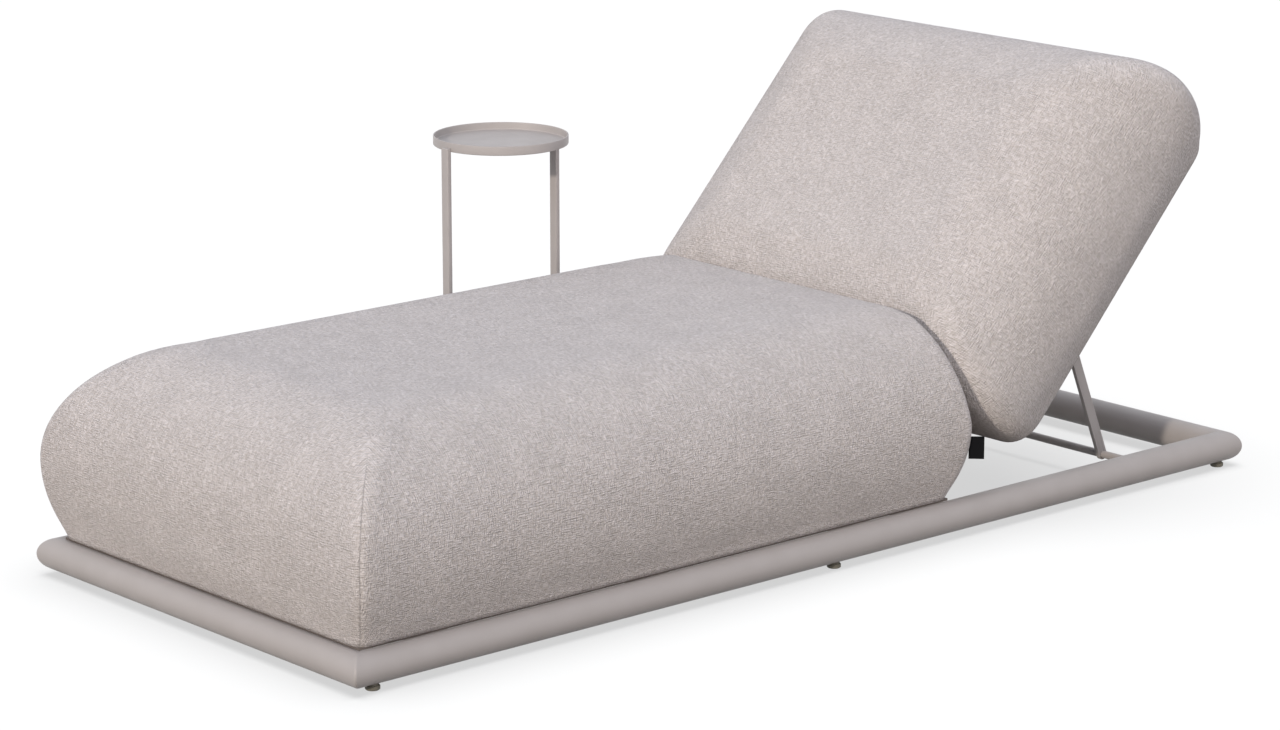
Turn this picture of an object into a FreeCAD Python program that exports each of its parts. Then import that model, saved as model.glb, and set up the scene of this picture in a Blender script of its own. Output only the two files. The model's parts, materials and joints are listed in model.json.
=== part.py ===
import FreeCAD, Part
import math
import os
import Sketcher

# Sun lounger with a low tube frame, a deep upholstered seat, a reclining backrest with a prop stay
# and a side tray on two posts. Millimetres. X is the width, Y the length from foot to head, Z is up.
doc = FreeCAD.newDocument("sun_lounger")
sheet = doc.addObject("Spreadsheet::Sheet", "Sheet")

VALUES = {
    # Tube frame
    "frame_length": 2060.0,
    "frame_width": 883.0,
    "tube_od": 55.0,
    "tube_wall": 2.5,
    "floor_gap": 9.0,
    # Glides under the rails
    "glide_dia": 24.0,
    "glide_overlap": 5.0,
    "glide_foot_inset": 54.0,
    "glide_head_inset": 40.0,
    # Cross bars under the seat
    "bar_width": 40.0,
    "bar_height": 25.0,
    "bar_wall": 2.0,
    "bar_drop": 1.5,
    "bar_first_inset": 170.0,
    "bar_rear_gap": 148.0,
    "hinge_bar_width": 70.0,
    "hinge_bar_setback": 78.0,
    # Seat board and seat cushion
    "board_thick": 4.0,
    "board_inset": 3.0,
    "pad_overhang": 6.0,
    "pad_base_inset": 40.0,
    "pad_end_inset": 29.0,
    "pad_bulge": 133.0,
    "pad_thick": 328.0,
    "pad_corner": 18.0,
    "seat_setback": 5.0,
    "seat_gap": 35.3,
    "rear_gap": 20.3,
    "rear_round": 34.0,
    # Maker's tab, left plain
    "tab_tall": 40.0,
    "tab_wide": 26.0,
    "tab_thick": 1.2,
    "tab_low": 74.0,
    # Backrest hinge
    "hinge_from_head": 673.6,
    "hinge_z": 223.5,
    "recline_angle": 47.0,
    "upright_inset": 181.0,
    "upright_thick": 8.0,
    "upright_reach": 33.0,
    "upright_foot": 23.0,
    "eye_radius": 17.0,
    "pin_dia": 12.0,
    "pin_play": 0.05,
    "side_play": 1.5,
    "pin_head": 18.0,
    "pin_head_thick": 4.0,
    # Backrest cushion and its parts
    "back_length": 741.0,
    "back_lead": 18.3,
    "back_corner": 45.0,
    "slot_side": 6.0,
    "slot_back": 68.0,
    "back_board": 2.0,
    "back_board_inset": 20.0,
    "arm_foot_near": 26.0,
    "arm_foot_far": 62.0,
    # Prop stay
    "stay_inset": 93.0,
    "stay_thick": 8.0,
    "stay_wide": 20.0,
    "stay_length": 277.5,
    "stay_angle": 67.5,
    "stay_along": 269.0,
    "stay_below": 19.0,
    "knuckle_dia": 32.0,
    "lug_thick": 6.0,
    "lug_wide": 34.0,
    "lug_base": 60.0,
    "lug_base_thick": 4.0,
    "stay_pin_dia": 10.0,
    "foot_bar_dia": 14.0,
    "foot_bar_end_gap": 9.0,
    "cap_thick": 2.0,
    # Rests for the stay on the side rails
    "rest_long": 34.0,
    "rest_thick": 8.0,
    "rest_angle": 24.0,
    "rest_gap": 0.3,
    "rest_reach": 24.0,
    # Side tray
    "post_gap": 1.0,
    "tray_radius": 123.0,
    "tray_top": 623.0,
    "tray_rim": 17.0,
    "tray_floor": 3.0,
    "tray_wall": 2.5,
    "post_wide": 18.0,
    "post_thick": 9.0,
    "post_bite": 0.6,
    "post_low": 13.0,
    "post_drop": 10.0,
    "screw_dia": 6.0,
    "screw_head": 11.0,
    "screw_head_thick": 3.5,
    "screw_pitch": 22.0,
}
for row, (alias, number) in enumerate(VALUES.items(), start=1):
    sheet.set("A%d" % row, alias)
    sheet.set("B%d" % row, "%s" % number)
    sheet.setAlias("B%d" % row, alias)
doc.recompute()


class Dim:
    """A size that carries its number and the sheet expression it comes from."""

    def __init__(self, num, txt):
        self.num = num
        self.txt = txt

    def __add__(self, other):
        other = dim(other)
        return Dim(self.num + other.num, "(%s + %s)" % (self.txt, other.txt))

    def __sub__(self, other):
        other = dim(other)
        return Dim(self.num - other.num, "(%s - %s)" % (self.txt, other.txt))

    def __mul__(self, other):
        other = dim(other)
        return Dim(self.num * other.num, "(%s * %s)" % (self.txt, other.txt))

    def __truediv__(self, other):
        other = dim(other)
        return Dim(self.num / other.num, "(%s / %s)" % (self.txt, other.txt))

    def __neg__(self):
        return Dim(-self.num, "(0 - %s)" % self.txt)


def dim(value):
    """A Dim from a Dim or a plain number."""
    if isinstance(value, Dim):
        return value
    return Dim(float(value), "%s" % float(value))


def D(alias):
    """The sheet value of that name."""
    return Dim(VALUES[alias], "Sheet." + alias)


def cosd(angle):
    return Dim(math.cos(math.radians(angle.num)), "cos(%s)" % angle.txt)


def sind(angle):
    return Dim(math.sin(math.radians(angle.num)), "sin(%s)" % angle.txt)


def root(value):
    return Dim(math.sqrt(value.num), "sqrt(%s)" % value.txt)


def bind(obj, prop, value):
    """Sets a property and ties it to the sheet."""
    value = dim(value)
    obj.setExpression(prop, value.txt)


def move(obj, x=0, y=0, z=0, rotation=None, angle=None):
    """Places an object; an angle given as a Dim turns it about X."""
    spot = [dim(x), dim(y), dim(z)]
    turn = rotation or FreeCAD.Rotation()
    if angle is not None:
        turn = FreeCAD.Rotation(FreeCAD.Vector(1, 0, 0), angle.num)
    obj.Placement = FreeCAD.Placement(FreeCAD.Vector(*[s.num for s in spot]), turn)
    for name, s in zip("xyz", spot):
        obj.setExpression("Placement.Base." + name, s.txt)
    if angle is not None:
        obj.setExpression("Placement.Rotation.Angle", angle.txt)
    return obj


def box(name, size, corner):
    """A block with its low corner at the given place."""
    b = doc.addObject("Part::Box", name)
    for prop, value in zip(("Length", "Width", "Height"), size):
        bind(b, prop, value)
    return move(b, *corner)


ALONG_X = FreeCAD.Rotation(FreeCAD.Vector(0, 1, 0), 90)
ALONG_Y = FreeCAD.Rotation(FreeCAD.Vector(1, 0, 0), -90)
PROFILE_XZ = FreeCAD.Rotation(FreeCAD.Vector(1, 0, 0), 90)
PROFILE_YZ = FreeCAD.Rotation(FreeCAD.Vector(1, 1, 1), 120)


def rod(name, radius, length, start, rotation=None):
    """A round bar from the start point along Z, or along X or Y when turned."""
    c = doc.addObject("Part::Cylinder", name)
    bind(c, "Radius", radius)
    bind(c, "Height", length)
    return move(c, *start, rotation=rotation)


def cut(name, base, *tools):
    """The base with the tools taken away."""
    tool = tools[0]
    if len(tools) > 1:
        tool = doc.addObject("Part::MultiFuse", name + "_tools")
        tool.Shapes = list(tools)
    c = doc.addObject("Part::Cut", name)
    c.Base = base
    c.Tool = tool
    return c


def join(name, *parts):
    f = doc.addObject("Part::MultiFuse", name)
    f.Shapes = list(parts)
    f.Refine = True
    return f


def common(name, *parts):
    c = doc.addObject("Part::MultiCommon", name)
    c.Shapes = list(parts)
    return c


def outline(sketch, path, holes=()):
    """Draws a closed outline of lines and arcs in a sketch and ties its points to the sheet.
    Each step is (x, y) for a line's start or (x, y, cx, cy, turn, axis) for an arc's start, where
    turn is 1 for anticlockwise and axis names the centre coordinate that is fixed. Holes are
    (x, y, radius)."""
    n = len(path)
    pts = [(dim(s[0]), dim(s[1])) for s in path]
    ids = []
    for i, step in enumerate(path):
        a = FreeCAD.Vector(pts[i][0].num, pts[i][1].num, 0)
        b = FreeCAD.Vector(pts[(i + 1) % n][0].num, pts[(i + 1) % n][1].num, 0)
        if len(step) == 2:
            ids.append((sketch.addGeometry(Part.LineSegment(a, b), False), 1, 2))
            continue
        c = FreeCAD.Vector(dim(step[2]).num, dim(step[3]).num, 0)
        first, last = (a, b) if step[4] > 0 else (b, a)
        start = math.atan2(first.y - c.y, first.x - c.x)
        end = math.atan2(last.y - c.y, last.x - c.x)
        if end <= start:
            end += 2 * math.pi
        ring = Part.Circle(c, FreeCAD.Vector(0, 0, 1), (a - c).Length)
        gid = sketch.addGeometry(Part.ArcOfCircle(ring, start, end), False)
        ids.append((gid, 1, 2) if step[4] > 0 else (gid, 2, 1))
    for i in range(n):
        here = ids[i]
        after = ids[(i + 1) % n]
        sketch.addConstraint(Sketcher.Constraint("Coincident", here[0], here[2], after[0], after[1]))
    for i, step in enumerate(path):
        for kind, value in (("DistanceX", pts[i][0]), ("DistanceY", pts[i][1])):
            fix(sketch, kind, ids[i][0], ids[i][1], value)
        if len(step) > 2:
            kind = "DistanceX" if step[5] == "x" else "DistanceY"
            fix(sketch, kind, ids[i][0], 3, dim(step[2] if step[5] == "x" else step[3]))
    for x, y, radius in holes:
        x, y, radius = dim(x), dim(y), dim(radius)
        ring = Part.Circle(FreeCAD.Vector(x.num, y.num, 0), FreeCAD.Vector(0, 0, 1), radius.num)
        gid = sketch.addGeometry(ring, False)
        fix(sketch, "DistanceX", gid, 3, x)
        fix(sketch, "DistanceY", gid, 3, y)
        k = sketch.addConstraint(Sketcher.Constraint("Radius", gid, radius.num))
        sketch.setExpression("Constraints[%d]" % k, radius.txt)
    return sketch


def fix(sketch, kind, gid, pos, value):
    """Holds one coordinate of a point at a sheet value."""
    k = sketch.addConstraint(Sketcher.Constraint(kind, -1, 1, gid, pos, value.num))
    sketch.setExpression("Constraints[%d]" % k, value.txt)


def prism(name, path, length, rotation, spot=(0, 0, 0)):
    """An outline drawn in a turned plane and pushed out evenly both ways."""
    s = doc.addObject("Sketcher::SketchObject", name + "_sketch")
    outline(s, path)
    move(s, *spot, rotation=rotation)
    e = doc.addObject("Part::Extrusion", name)
    e.Base = s
    e.DirMode = "Normal"
    e.Solid = True
    e.Symmetric = True
    bind(e, "LengthFwd", length)
    return e


def plate(name, path, thick, plane="YZ_Plane", holes=()):
    """A flat plate as a body: an outline on one of its own origin planes, padded."""
    body = doc.addObject("PartDesign::Body", name)
    sketch = body.newObject("Sketcher::SketchObject", name + "_sketch")
    base = [f for f in body.Origin.OriginFeatures if f.Role == plane][0]
    sketch.AttachmentSupport = [(base, "")]
    sketch.MapMode = "FlatFace"
    outline(sketch, path, holes)
    pad = body.newObject("PartDesign::Pad", name + "_pad")
    pad.Profile = sketch
    bind(pad, "Length", thick)
    return body


# Places worked out from the sizes: the hinge is tied to the head end, the seat fills the rest
TUBE_R = D("tube_od") / 2
TUBE_Z = D("floor_gap") + TUBE_R
TUBE_TOP = D("floor_gap") + D("tube_od")
BAR_TOP = TUBE_TOP - D("bar_drop")
RAIL_X = D("frame_width") / 2 - TUBE_R
HINGE_Y = D("frame_length") / 2 - D("hinge_from_head")
HINGE_BAR_BACK = HINGE_Y - D("hinge_bar_setback")
SEAT_FRONT = D("seat_setback") - D("frame_length") / 2
SEAT_REAR = HINGE_Y - D("seat_gap")
BAR_FIRST = D("bar_first_inset") - D("frame_length") / 2
BAR_PITCH = (HINGE_BAR_BACK - D("hinge_bar_width") - D("bar_rear_gap") - BAR_FIRST) / 2
PAD_HALF = D("frame_width") / 2 + D("pad_overhang")
UPRIGHT_X = PAD_HALF - D("upright_inset")
STAY_X = RAIL_X - D("stay_inset")
FOOT_BAR_HALF = RAIL_X - TUBE_R - D("foot_bar_end_gap")
TRAY_X = -(PAD_HALF + D("post_gap") + D("post_wide") / 2)
TAB_START = D("pad_corner") - D("pad_base_inset") / 8
TAB_TURN = dim(45)
TAB_OUT = PAD_HALF - TAB_START + (D("tab_wide") + D("tab_thick")) * cosd(TAB_TURN)
SHIFT = (D("tray_radius") - TRAY_X - TAB_OUT) / 2
AXIS = (dim(0), HINGE_Y, D("hinge_z"))
NODES = {}


def node(label, obj, x=0, y=0, z=0, rotation=None, angle=None):
    """Names a finished piece and gives it its place, with the whole set centred on its box."""
    obj.Label = label
    move(obj, SHIFT + dim(x), y, z, rotation=rotation, angle=angle)
    NODES[label] = obj


def both(label, make):
    """A near piece at +X and a far piece at -X from one recipe."""
    make(label + "_near", 1)
    make(label + "_far", -1)


def rail_rod(name, side):
    """The outside of a side rail, for copes and saddles."""
    start = (RAIL_X * side, -D("frame_length") / 2, TUBE_Z)
    return rod(name, TUBE_R, D("frame_length"), start, ALONG_Y)


def end_rod(name, end):
    """The outside of the head rail at end 1 or of the foot rail at end -1."""
    start = (-D("frame_width") / 2, (D("frame_length") / 2 - TUBE_R) * end, TUBE_Z)
    return rod(name, TUBE_R, D("frame_width"), start, ALONG_X)


# Frame rails: four round tubes with their ends mitred
def rail(label, length, rotation, spot):
    outer = rod(label + "_outer", TUBE_R, length, (-length / 2, TUBE_R, 0), ALONG_X)
    inner = rod(label + "_inner", TUBE_R - D("tube_wall"), length, (-length / 2, TUBE_R, 0), ALONG_X)
    tube = cut(label + "_tube", outer, inner)
    mitre = doc.addObject("Part::Wedge", label + "_mitre")
    bind(mitre, "Xmin", -length / 2)
    bind(mitre, "Xmax", length / 2)
    bind(mitre, "X2min", D("tube_od") - length / 2)
    bind(mitre, "X2max", length / 2 - D("tube_od"))
    bind(mitre, "Ymin", 0)
    bind(mitre, "Ymax", D("tube_od"))
    for prop in ("Zmin", "Z2min"):
        bind(mitre, prop, -TUBE_R)
    for prop in ("Zmax", "Z2max"):
        bind(mitre, prop, TUBE_R)
    piece = common(label + "_piece", tube, mitre)
    node(label, piece, *spot, rotation=rotation)


def turned(degrees):
    return FreeCAD.Rotation(FreeCAD.Vector(0, 0, 1), degrees)


rail("side_rail_near", D("frame_length"), turned(90), (D("frame_width") / 2, 0, TUBE_Z))
rail("side_rail_far", D("frame_length"), turned(-90), (-D("frame_width") / 2, 0, TUBE_Z))
rail("foot_rail", D("frame_width"), turned(0), (0, -D("frame_length") / 2, TUBE_Z))
rail("head_rail", D("frame_width"), turned(180), (0, D("frame_length") / 2, TUBE_Z))


# Glides: round pads shaped to the underside of the side rails, and of the end rails at the corners
def glide(label, side, y):
    x = RAIL_X * side
    pad = rod(label + "_pad", D("glide_dia") / 2, D("floor_gap") + D("glide_overlap"), (x, y, 0))
    tubes = [rail_rod(label + "_tube", side), end_rod(label + "_head", 1), end_rod(label + "_foot", -1)]
    node(label, cut(label + "_shaped", pad, *tubes))


GLIDE_FOOT = D("glide_foot_inset") - D("frame_length") / 2
GLIDE_HEAD = D("frame_length") / 2 - D("glide_head_inset")
for place, y in (("foot", GLIDE_FOOT), ("middle", (GLIDE_FOOT + GLIDE_HEAD) / 2), ("head", GLIDE_HEAD)):
    glide("glide_%s_near" % place, 1, y)
    glide("glide_%s_far" % place, -1, y)


# Cross bars under the seat: hollow bars coped to the side rails
def cross_bar(label, width, y):
    low = BAR_TOP - D("bar_height")
    block = box(label + "_block", (RAIL_X * 2, width, D("bar_height")), (-RAIL_X, y, low))
    bore = box(
        label + "_bore",
        (RAIL_X * 2, width - D("bar_wall") * 2, D("bar_height") - D("bar_wall") * 2),
        (-RAIL_X, y + D("bar_wall"), low + D("bar_wall")),
    )
    piece = cut(label + "_piece", block, bore, rail_rod(label + "_n", 1), rail_rod(label + "_f", -1))
    node(label, piece)


for k, place in enumerate(("foot", "middle", "rear")):
    cross_bar("seat_bar_" + place, D("bar_width"), BAR_FIRST + BAR_PITCH * k)
cross_bar("hinge_bar", D("hinge_bar_width"), HINGE_BAR_BACK - D("hinge_bar_width"))

# Seat board: a sheet on the cross bars that reaches nearly to the edge of the cushion's base
BASE_Z = BAR_TOP + D("board_thick")
SEAT_BOARD_HALF = PAD_HALF - D("pad_base_inset") - D("board_inset")
END_EDGE = D("pad_end_inset") + D("board_inset")
board = box(
    "seat_board_box",
    (SEAT_BOARD_HALF * 2, SEAT_REAR - SEAT_FRONT - END_EDGE * 2, D("board_thick")),
    (0, 0, 0),
)
node("seat_board", board, x=-SEAT_BOARD_HALF, y=SEAT_FRONT + END_EDGE, z=BAR_TOP)


# Cushion section: flat base, drawn-in lower side, bulge and a broad rounded shoulder. With a lean
# the last end has a straight wall above the bulge instead, and a tighter turn onto the top.
SHOULDER = D("pad_thick") - D("pad_bulge")


def section(half, inset, lean=None):
    rise = D("pad_bulge")
    swing = (inset * inset + rise * rise) / (inset * 2)
    top = D("pad_thick")
    base = half - inset
    flat = half - SHOULDER
    last = [(half, rise, flat, rise, 1, "y"), (flat, top)]
    if lean is not None:
        wall = root(lean * lean + SHOULDER * SHOULDER)
        trim = D("rear_round") * (wall - lean) / SHOULDER
        edge = half - lean
        start = (edge + trim * lean / wall, top - trim * SHOULDER / wall)
        end = (edge - trim, top)
        last = [(half, rise), start + (edge - trim, top - D("rear_round"), 1, "y"), end]
    return [
        (-base, 0),
        (base, 0, half - swing, rise, 1, "y"),
        *last,
        (-flat, top, -flat, rise, 1, "y"),
        (-half, rise, swing - half, rise, 1, "y"),
    ]


def plan(half_x, half_y, r):
    """A rectangle with rounded corners."""
    return [
        (r - half_x, -half_y),
        (half_x - r, -half_y, half_x - r, r - half_y, 1, "y"),
        (half_x, r - half_y),
        (half_x, half_y - r, half_x - r, half_y - r, 1, "y"),
        (half_x - r, half_y),
        (r - half_x, half_y, r - half_x, half_y - r, 1, "y"),
        (-half_x, half_y - r),
        (-half_x, r - half_y, r - half_x, r - half_y, 1, "y"),
    ]


def cushion(name, half_y, corner, y, z, lean=None):
    """A section for the sides and one for the ends; the two meet in mitred corner seams."""
    sides = section(PAD_HALF, D("pad_base_inset"))
    ends = section(half_y, D("pad_end_inset"), lean)
    across = prism(name + "_across", sides, half_y * 2, PROFILE_XZ, (0, y, z))
    along = prism(name + "_along", ends, PAD_HALF * 2, PROFILE_YZ, (0, y, z))
    whole = plan(PAD_HALF, half_y, corner)
    round_plan = prism(name + "_plan", whole, D("pad_thick") * 3, FreeCAD.Rotation(), (0, y, z))
    return common(name + "_form", across, along, round_plan)


# Seat cushion: its rear wall leans clear of the backrest's lower shoulder, which is nearest at rest
SEAT_HALF = (SEAT_REAR - SEAT_FRONT) / 2
SEAT_MID = (SEAT_REAR + SEAT_FRONT) / 2
BACK_LOW = BASE_Z - D("hinge_z")
SHOULDER_Y = (SHOULDER - D("back_lead")) * cosd(D("recline_angle"))
SHOULDER_Y = SHOULDER_Y - (BACK_LOW + D("pad_bulge")) * sind(D("recline_angle"))
BACK_NEAREST = HINGE_Y + SHOULDER_Y - SHOULDER
REAR_LEAN = SEAT_REAR - BACK_NEAREST + D("rear_gap")
seat_form = cushion("seat_cushion", SEAT_HALF, D("pad_corner"), SEAT_MID, BASE_Z, REAR_LEAN)
seat_piece = doc.addObject("Part::Refine", "seat_cushion_piece")
seat_piece.Source = seat_form
node("seat_cushion", seat_piece)

# Plain fabric tab sewn into the rear near corner seam of the seat, standing out along the diagonal
tab = box("seam_tab_box", (D("tab_thick"), D("tab_wide"), D("tab_tall")), (0, 0, 0))
move(
    tab,
    PAD_HALF - TAB_START,
    SEAT_REAR - TAB_START,
    BASE_Z + D("tab_low"),
    rotation=turned(-TAB_TURN.num),
)
node("seam_tab", cut("seam_tab_piece", tab, seat_form))


# Hinge uprights: bent plates on the rear face of the hinge bar, with an eye for the hinge pin
def upright(label, side):
    drop = BAR_TOP - D("hinge_z")
    low = drop - D("bar_height")
    back = HINGE_BAR_BACK - HINGE_Y
    heel = back + D("upright_reach")
    eye = D("eye_radius")
    path = [
        (back, low),
        (heel + D("upright_foot"), low),
        (eye, 0, 0, 0, 1, "y"),
        (dim(0), eye, 0, 0, 1, "x"),
        (-eye, 0),
        (heel, drop),
        (back, drop),
    ]
    holes = [(0, 0, D("pin_dia") / 2 + D("pin_play"))]
    body = plate(label + "_body", path, D("upright_thick"), holes=holes)
    x = UPRIGHT_X if side > 0 else -UPRIGHT_X - D("upright_thick")
    node(label, body, x, HINGE_Y, D("hinge_z"))


both("hinge_upright", upright)


# Backrest cushion: the seat's section again, slotted at its lower end for the hinges
BACK_HALF = D("back_length") / 2
BACK_MID = BACK_HALF - D("back_lead")
ARM_X = UPRIGHT_X + D("upright_thick") + D("side_play")
back_form = cushion("back_cushion", BACK_HALF, D("back_corner"), BACK_MID, BACK_LOW)
slots = []
for side in (1, -1):
    width = D("upright_thick") * 2 + D("side_play") + D("slot_side") * 2
    low_x = UPRIGHT_X - D("slot_side") if side > 0 else D("slot_side") - UPRIGHT_X - width
    depth = D("slot_back") + D("back_lead") * 2
    tall = D("eye_radius") + D("side_play") * 2 - BACK_LOW
    slots.append(
        box(
            "back_slot_%s" % ("near" if side > 0 else "far"),
            (width, depth, tall + D("back_board")),
            (low_x, -D("back_lead") * 2, BACK_LOW - D("back_board")),
        )
    )
back_piece = cut("back_cushion_piece", back_form, *slots)
node("back_cushion", back_piece, *AXIS, angle=D("recline_angle"))

# Places on the backrest, given along it from the hinge axis and off its plane
def on_back(y, z):
    y, z = dim(y), dim(z)
    turn = D("recline_angle")
    return (
        HINGE_Y + y * cosd(turn) - z * sind(turn),
        D("hinge_z") + y * sind(turn) + z * cosd(turn),
    )


# Backrest board: a sheet behind the cushion that carries the hinge arms and the stay
BOARD_NEAR = D("arm_foot_near")
BACK_EDGE = D("pad_base_inset") + D("back_board_inset")
BOARD_FAR = D("back_length") - D("back_lead") - BACK_EDGE
BOARD_HALF = PAD_HALF - BACK_EDGE
BOARD_BACK = BACK_LOW - D("back_board")
back_board = box("back_board_box", (BOARD_HALF * 2, BOARD_FAR - BOARD_NEAR, D("back_board")), (0, 0, 0))
node("back_board", back_board, -BOARD_HALF, *on_back(BOARD_NEAR, BOARD_BACK), angle=D("recline_angle"))


# Hinge arms: plates standing on the backrest board inside the slots, beside the uprights
def hinge_arm(label, side):
    eye = D("eye_radius")
    path = [
        (D("arm_foot_near"), BACK_LOW),
        (D("arm_foot_far"), BACK_LOW),
        (eye, 0, 0, 0, 1, "y"),
        (dim(0), eye, 0, 0, 1, "x"),
        (-eye, 0),
    ]
    body = plate(label + "_body", path, D("upright_thick"), holes=[(0, 0, D("pin_dia") / 2)])
    x = ARM_X if side > 0 else -ARM_X - D("upright_thick")
    node(label, body, x, HINGE_Y, D("hinge_z"), angle=D("recline_angle"))


both("hinge_arm", hinge_arm)


# Headed pins on the backrest: a shank and a wider head at its outer end
def headed_pin(label, side, inner, outer, shank, spot):
    low = inner if side > 0 else -outer
    thick = D("pin_head_thick")
    end = outer if side > 0 else -outer - thick
    shaft = rod(label + "_shank", shank, outer - inner, (low, 0, 0), ALONG_X)
    cap = rod(label + "_head", D("pin_head") / 2, thick, (end, 0, 0), ALONG_X)
    node(label, join(label + "_piece", shaft, cap), 0, *spot, angle=D("recline_angle"))


def hinge_pin(label, side):
    inner = UPRIGHT_X - D("side_play")
    outer = ARM_X + D("upright_thick")
    headed_pin(label, side, inner, outer, D("pin_dia") / 2, (HINGE_Y, D("hinge_z")))


both("hinge_pin", hinge_pin)

# Stay lugs: a foot plate on the back of the board and a plate with an eye for the stay's pin
STAY_Y = D("stay_along")
STAY_Z = BOARD_BACK - D("stay_below")
LUG_X = STAY_X + D("stay_thick") / 2 + D("side_play")


def stay_lug(label, side):
    base_low = BOARD_BACK - D("lug_base_thick")
    wide = D("lug_wide")
    x = (LUG_X + D("lug_thick") / 2) * side
    foot = box(
        label + "_foot",
        (wide, D("lug_base"), D("lug_base_thick")),
        (LUG_X if side > 0 else -LUG_X - wide, STAY_Y - D("lug_base") / 2, base_low),
    )
    path = [
        (STAY_Y + wide / 2, BOARD_BACK),
        (STAY_Y - wide / 2, BOARD_BACK),
        (STAY_Y - wide / 2, STAY_Z, STAY_Y, STAY_Z, 1, "y"),
        (STAY_Y, STAY_Z - wide / 2, STAY_Y, STAY_Z, 1, "x"),
        (STAY_Y + wide / 2, STAY_Z),
    ]
    leaf = prism(label + "_leaf", path, D("lug_thick"), PROFILE_YZ, (x, 0, 0))
    start = (x - wide, STAY_Y, STAY_Z)
    hole = rod(label + "_hole", D("stay_pin_dia") / 2, wide * 2, start, ALONG_X)
    piece = cut(label + "_piece", join(label + "_body", foot, leaf), hole)
    node(label, piece, *AXIS, angle=D("recline_angle"))


both("stay_lug", stay_lug)


def stay_pin(label, side):
    inner = STAY_X - D("stay_thick") / 2 - D("side_play")
    outer = LUG_X + D("lug_thick")
    headed_pin(label, side, inner, outer, D("stay_pin_dia") / 2, on_back(STAY_Y, STAY_Z))


both("stay_pin", stay_pin)

# Prop stay: two flat struts with a round knuckle on top and a foot bar through their lower ends
STAY_SPOT = on_back(STAY_Y, STAY_Z)
STAY_TURN = -D("stay_angle")


def strut(label, side):
    thick = D("stay_thick")
    x = STAY_X * side - thick / 2
    half = D("stay_wide") / 2
    far = D("stay_length")
    blade = box(label + "_blade", (thick, far, half * 2), (x, 0, -half))
    knuckle = rod(label + "_knuckle", D("knuckle_dia") / 2, thick, (x, 0, 0), ALONG_X)
    toe = rod(label + "_toe", half, thick, (x, far, 0), ALONG_X)
    bore = rod(label + "_bore", D("stay_pin_dia") / 2 + D("pin_play"), thick, (x, 0, 0), ALONG_X)
    seat = rod(label + "_seat", D("foot_bar_dia") / 2, thick, (x, far, 0), ALONG_X)
    piece = cut(label + "_piece", join(label + "_body", blade, knuckle, toe), bore, seat)
    node(label, piece, 0, *STAY_SPOT, angle=STAY_TURN)


both("stay_strut", strut)
FOOT_Y = STAY_SPOT[0] + D("stay_length") * cosd(STAY_TURN)
FOOT_Z = STAY_SPOT[1] + D("stay_length") * sind(STAY_TURN)
bar = rod("foot_bar_rod", D("foot_bar_dia") / 2, FOOT_BAR_HALF * 2, (0, 0, 0), ALONG_X)
node("foot_bar", bar, -FOOT_BAR_HALF, FOOT_Y, FOOT_Z, rotation=ALONG_X)


def foot_cap(label, side):
    cap = rod(label + "_disc", D("foot_bar_dia") / 2, D("cap_thick"), (0, 0, 0), ALONG_X)
    x = FOOT_BAR_HALF if side > 0 else -FOOT_BAR_HALF - D("cap_thick")
    node(label, cap, x, FOOT_Y, FOOT_Z, rotation=ALONG_X)


both("foot_bar_cap", foot_cap)


# Stay rests: sloping ledges on the inside of the side rails that carry the ends of the foot bar
def stay_rest(label, side):
    reach = D("rest_reach") + TUBE_R
    low = D("foot_bar_dia") / 2 + D("rest_gap") + D("rest_thick")
    x = RAIL_X - reach if side > 0 else -RAIL_X
    slope = -D("rest_angle")
    ledge = box(label + "_ledge", (reach, D("rest_long"), D("rest_thick")), (0, 0, 0))
    along = -D("rest_long") / 2
    y = FOOT_Y + along * cosd(slope) + low * sind(slope)
    z = FOOT_Z + along * sind(slope) - low * cosd(slope)
    move(ledge, x, y, z, angle=slope)
    node(label, cut(label + "_piece", ledge, rail_rod(label + "_tube", side)))


both("stay_rest", stay_rest)

# Side tray: a turned dish with an upright rim
tray = doc.addObject("PartDesign::Body", "side_tray_body")
tray_sketch = tray.newObject("Sketcher::SketchObject", "side_tray_sketch")
tray_plane = [f for f in tray.Origin.OriginFeatures if f.Role == "XZ_Plane"][0]
tray_sketch.AttachmentSupport = [(tray_plane, "")]
tray_sketch.MapMode = "FlatFace"
inside = D("tray_radius") - D("tray_wall")
outline(
    tray_sketch,
    [
        (0, 0),
        (D("tray_radius"), 0),
        (D("tray_radius"), D("tray_rim")),
        (inside, D("tray_rim")),
        (inside, D("tray_floor")),
        (0, D("tray_floor")),
    ],
)
tray_turn = tray.newObject("PartDesign::Revolution", "side_tray_turn")
tray_turn.Profile = tray_sketch
tray_turn.ReferenceAxis = (tray_sketch, ["V_Axis"])
tray_turn.Angle = 360
node("side_tray", tray, TRAY_X, 0, D("tray_top") - D("tray_rim"))

# Tray posts: flat bars that hold the rim on both sides and run down outside the far rail
POST_IN = D("tray_radius") - D("post_bite")
POST_MID = POST_IN + D("post_thick") / 2
SADDLE_X = TRAY_X + D("post_wide") / 2


def tray_post(label, side):
    y = POST_IN if side > 0 else -POST_IN - D("post_thick")
    size = (D("post_wide"), D("post_thick"), D("tray_top") - D("post_drop") - D("post_low"))
    blade = box(label + "_blade", size, (TRAY_X - D("post_wide") / 2, y, D("post_low")))
    spot = (TRAY_X, 0, D("tray_top") - D("tray_rim"))
    tools = [rod(label + "_rim", D("tray_radius"), D("tray_rim"), spot)]
    for k in (1, -1):
        z = TUBE_Z + D("screw_pitch") / 2 * k
        start = (TRAY_X - D("post_wide"), POST_MID * side, z)
        name = label + ("_hole_up" if k > 0 else "_hole_low")
        tools.append(rod(name, D("screw_dia") / 2, D("post_wide") * 2, start, ALONG_X))
    node(label, cut(label + "_piece", blade, *tools))


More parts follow.
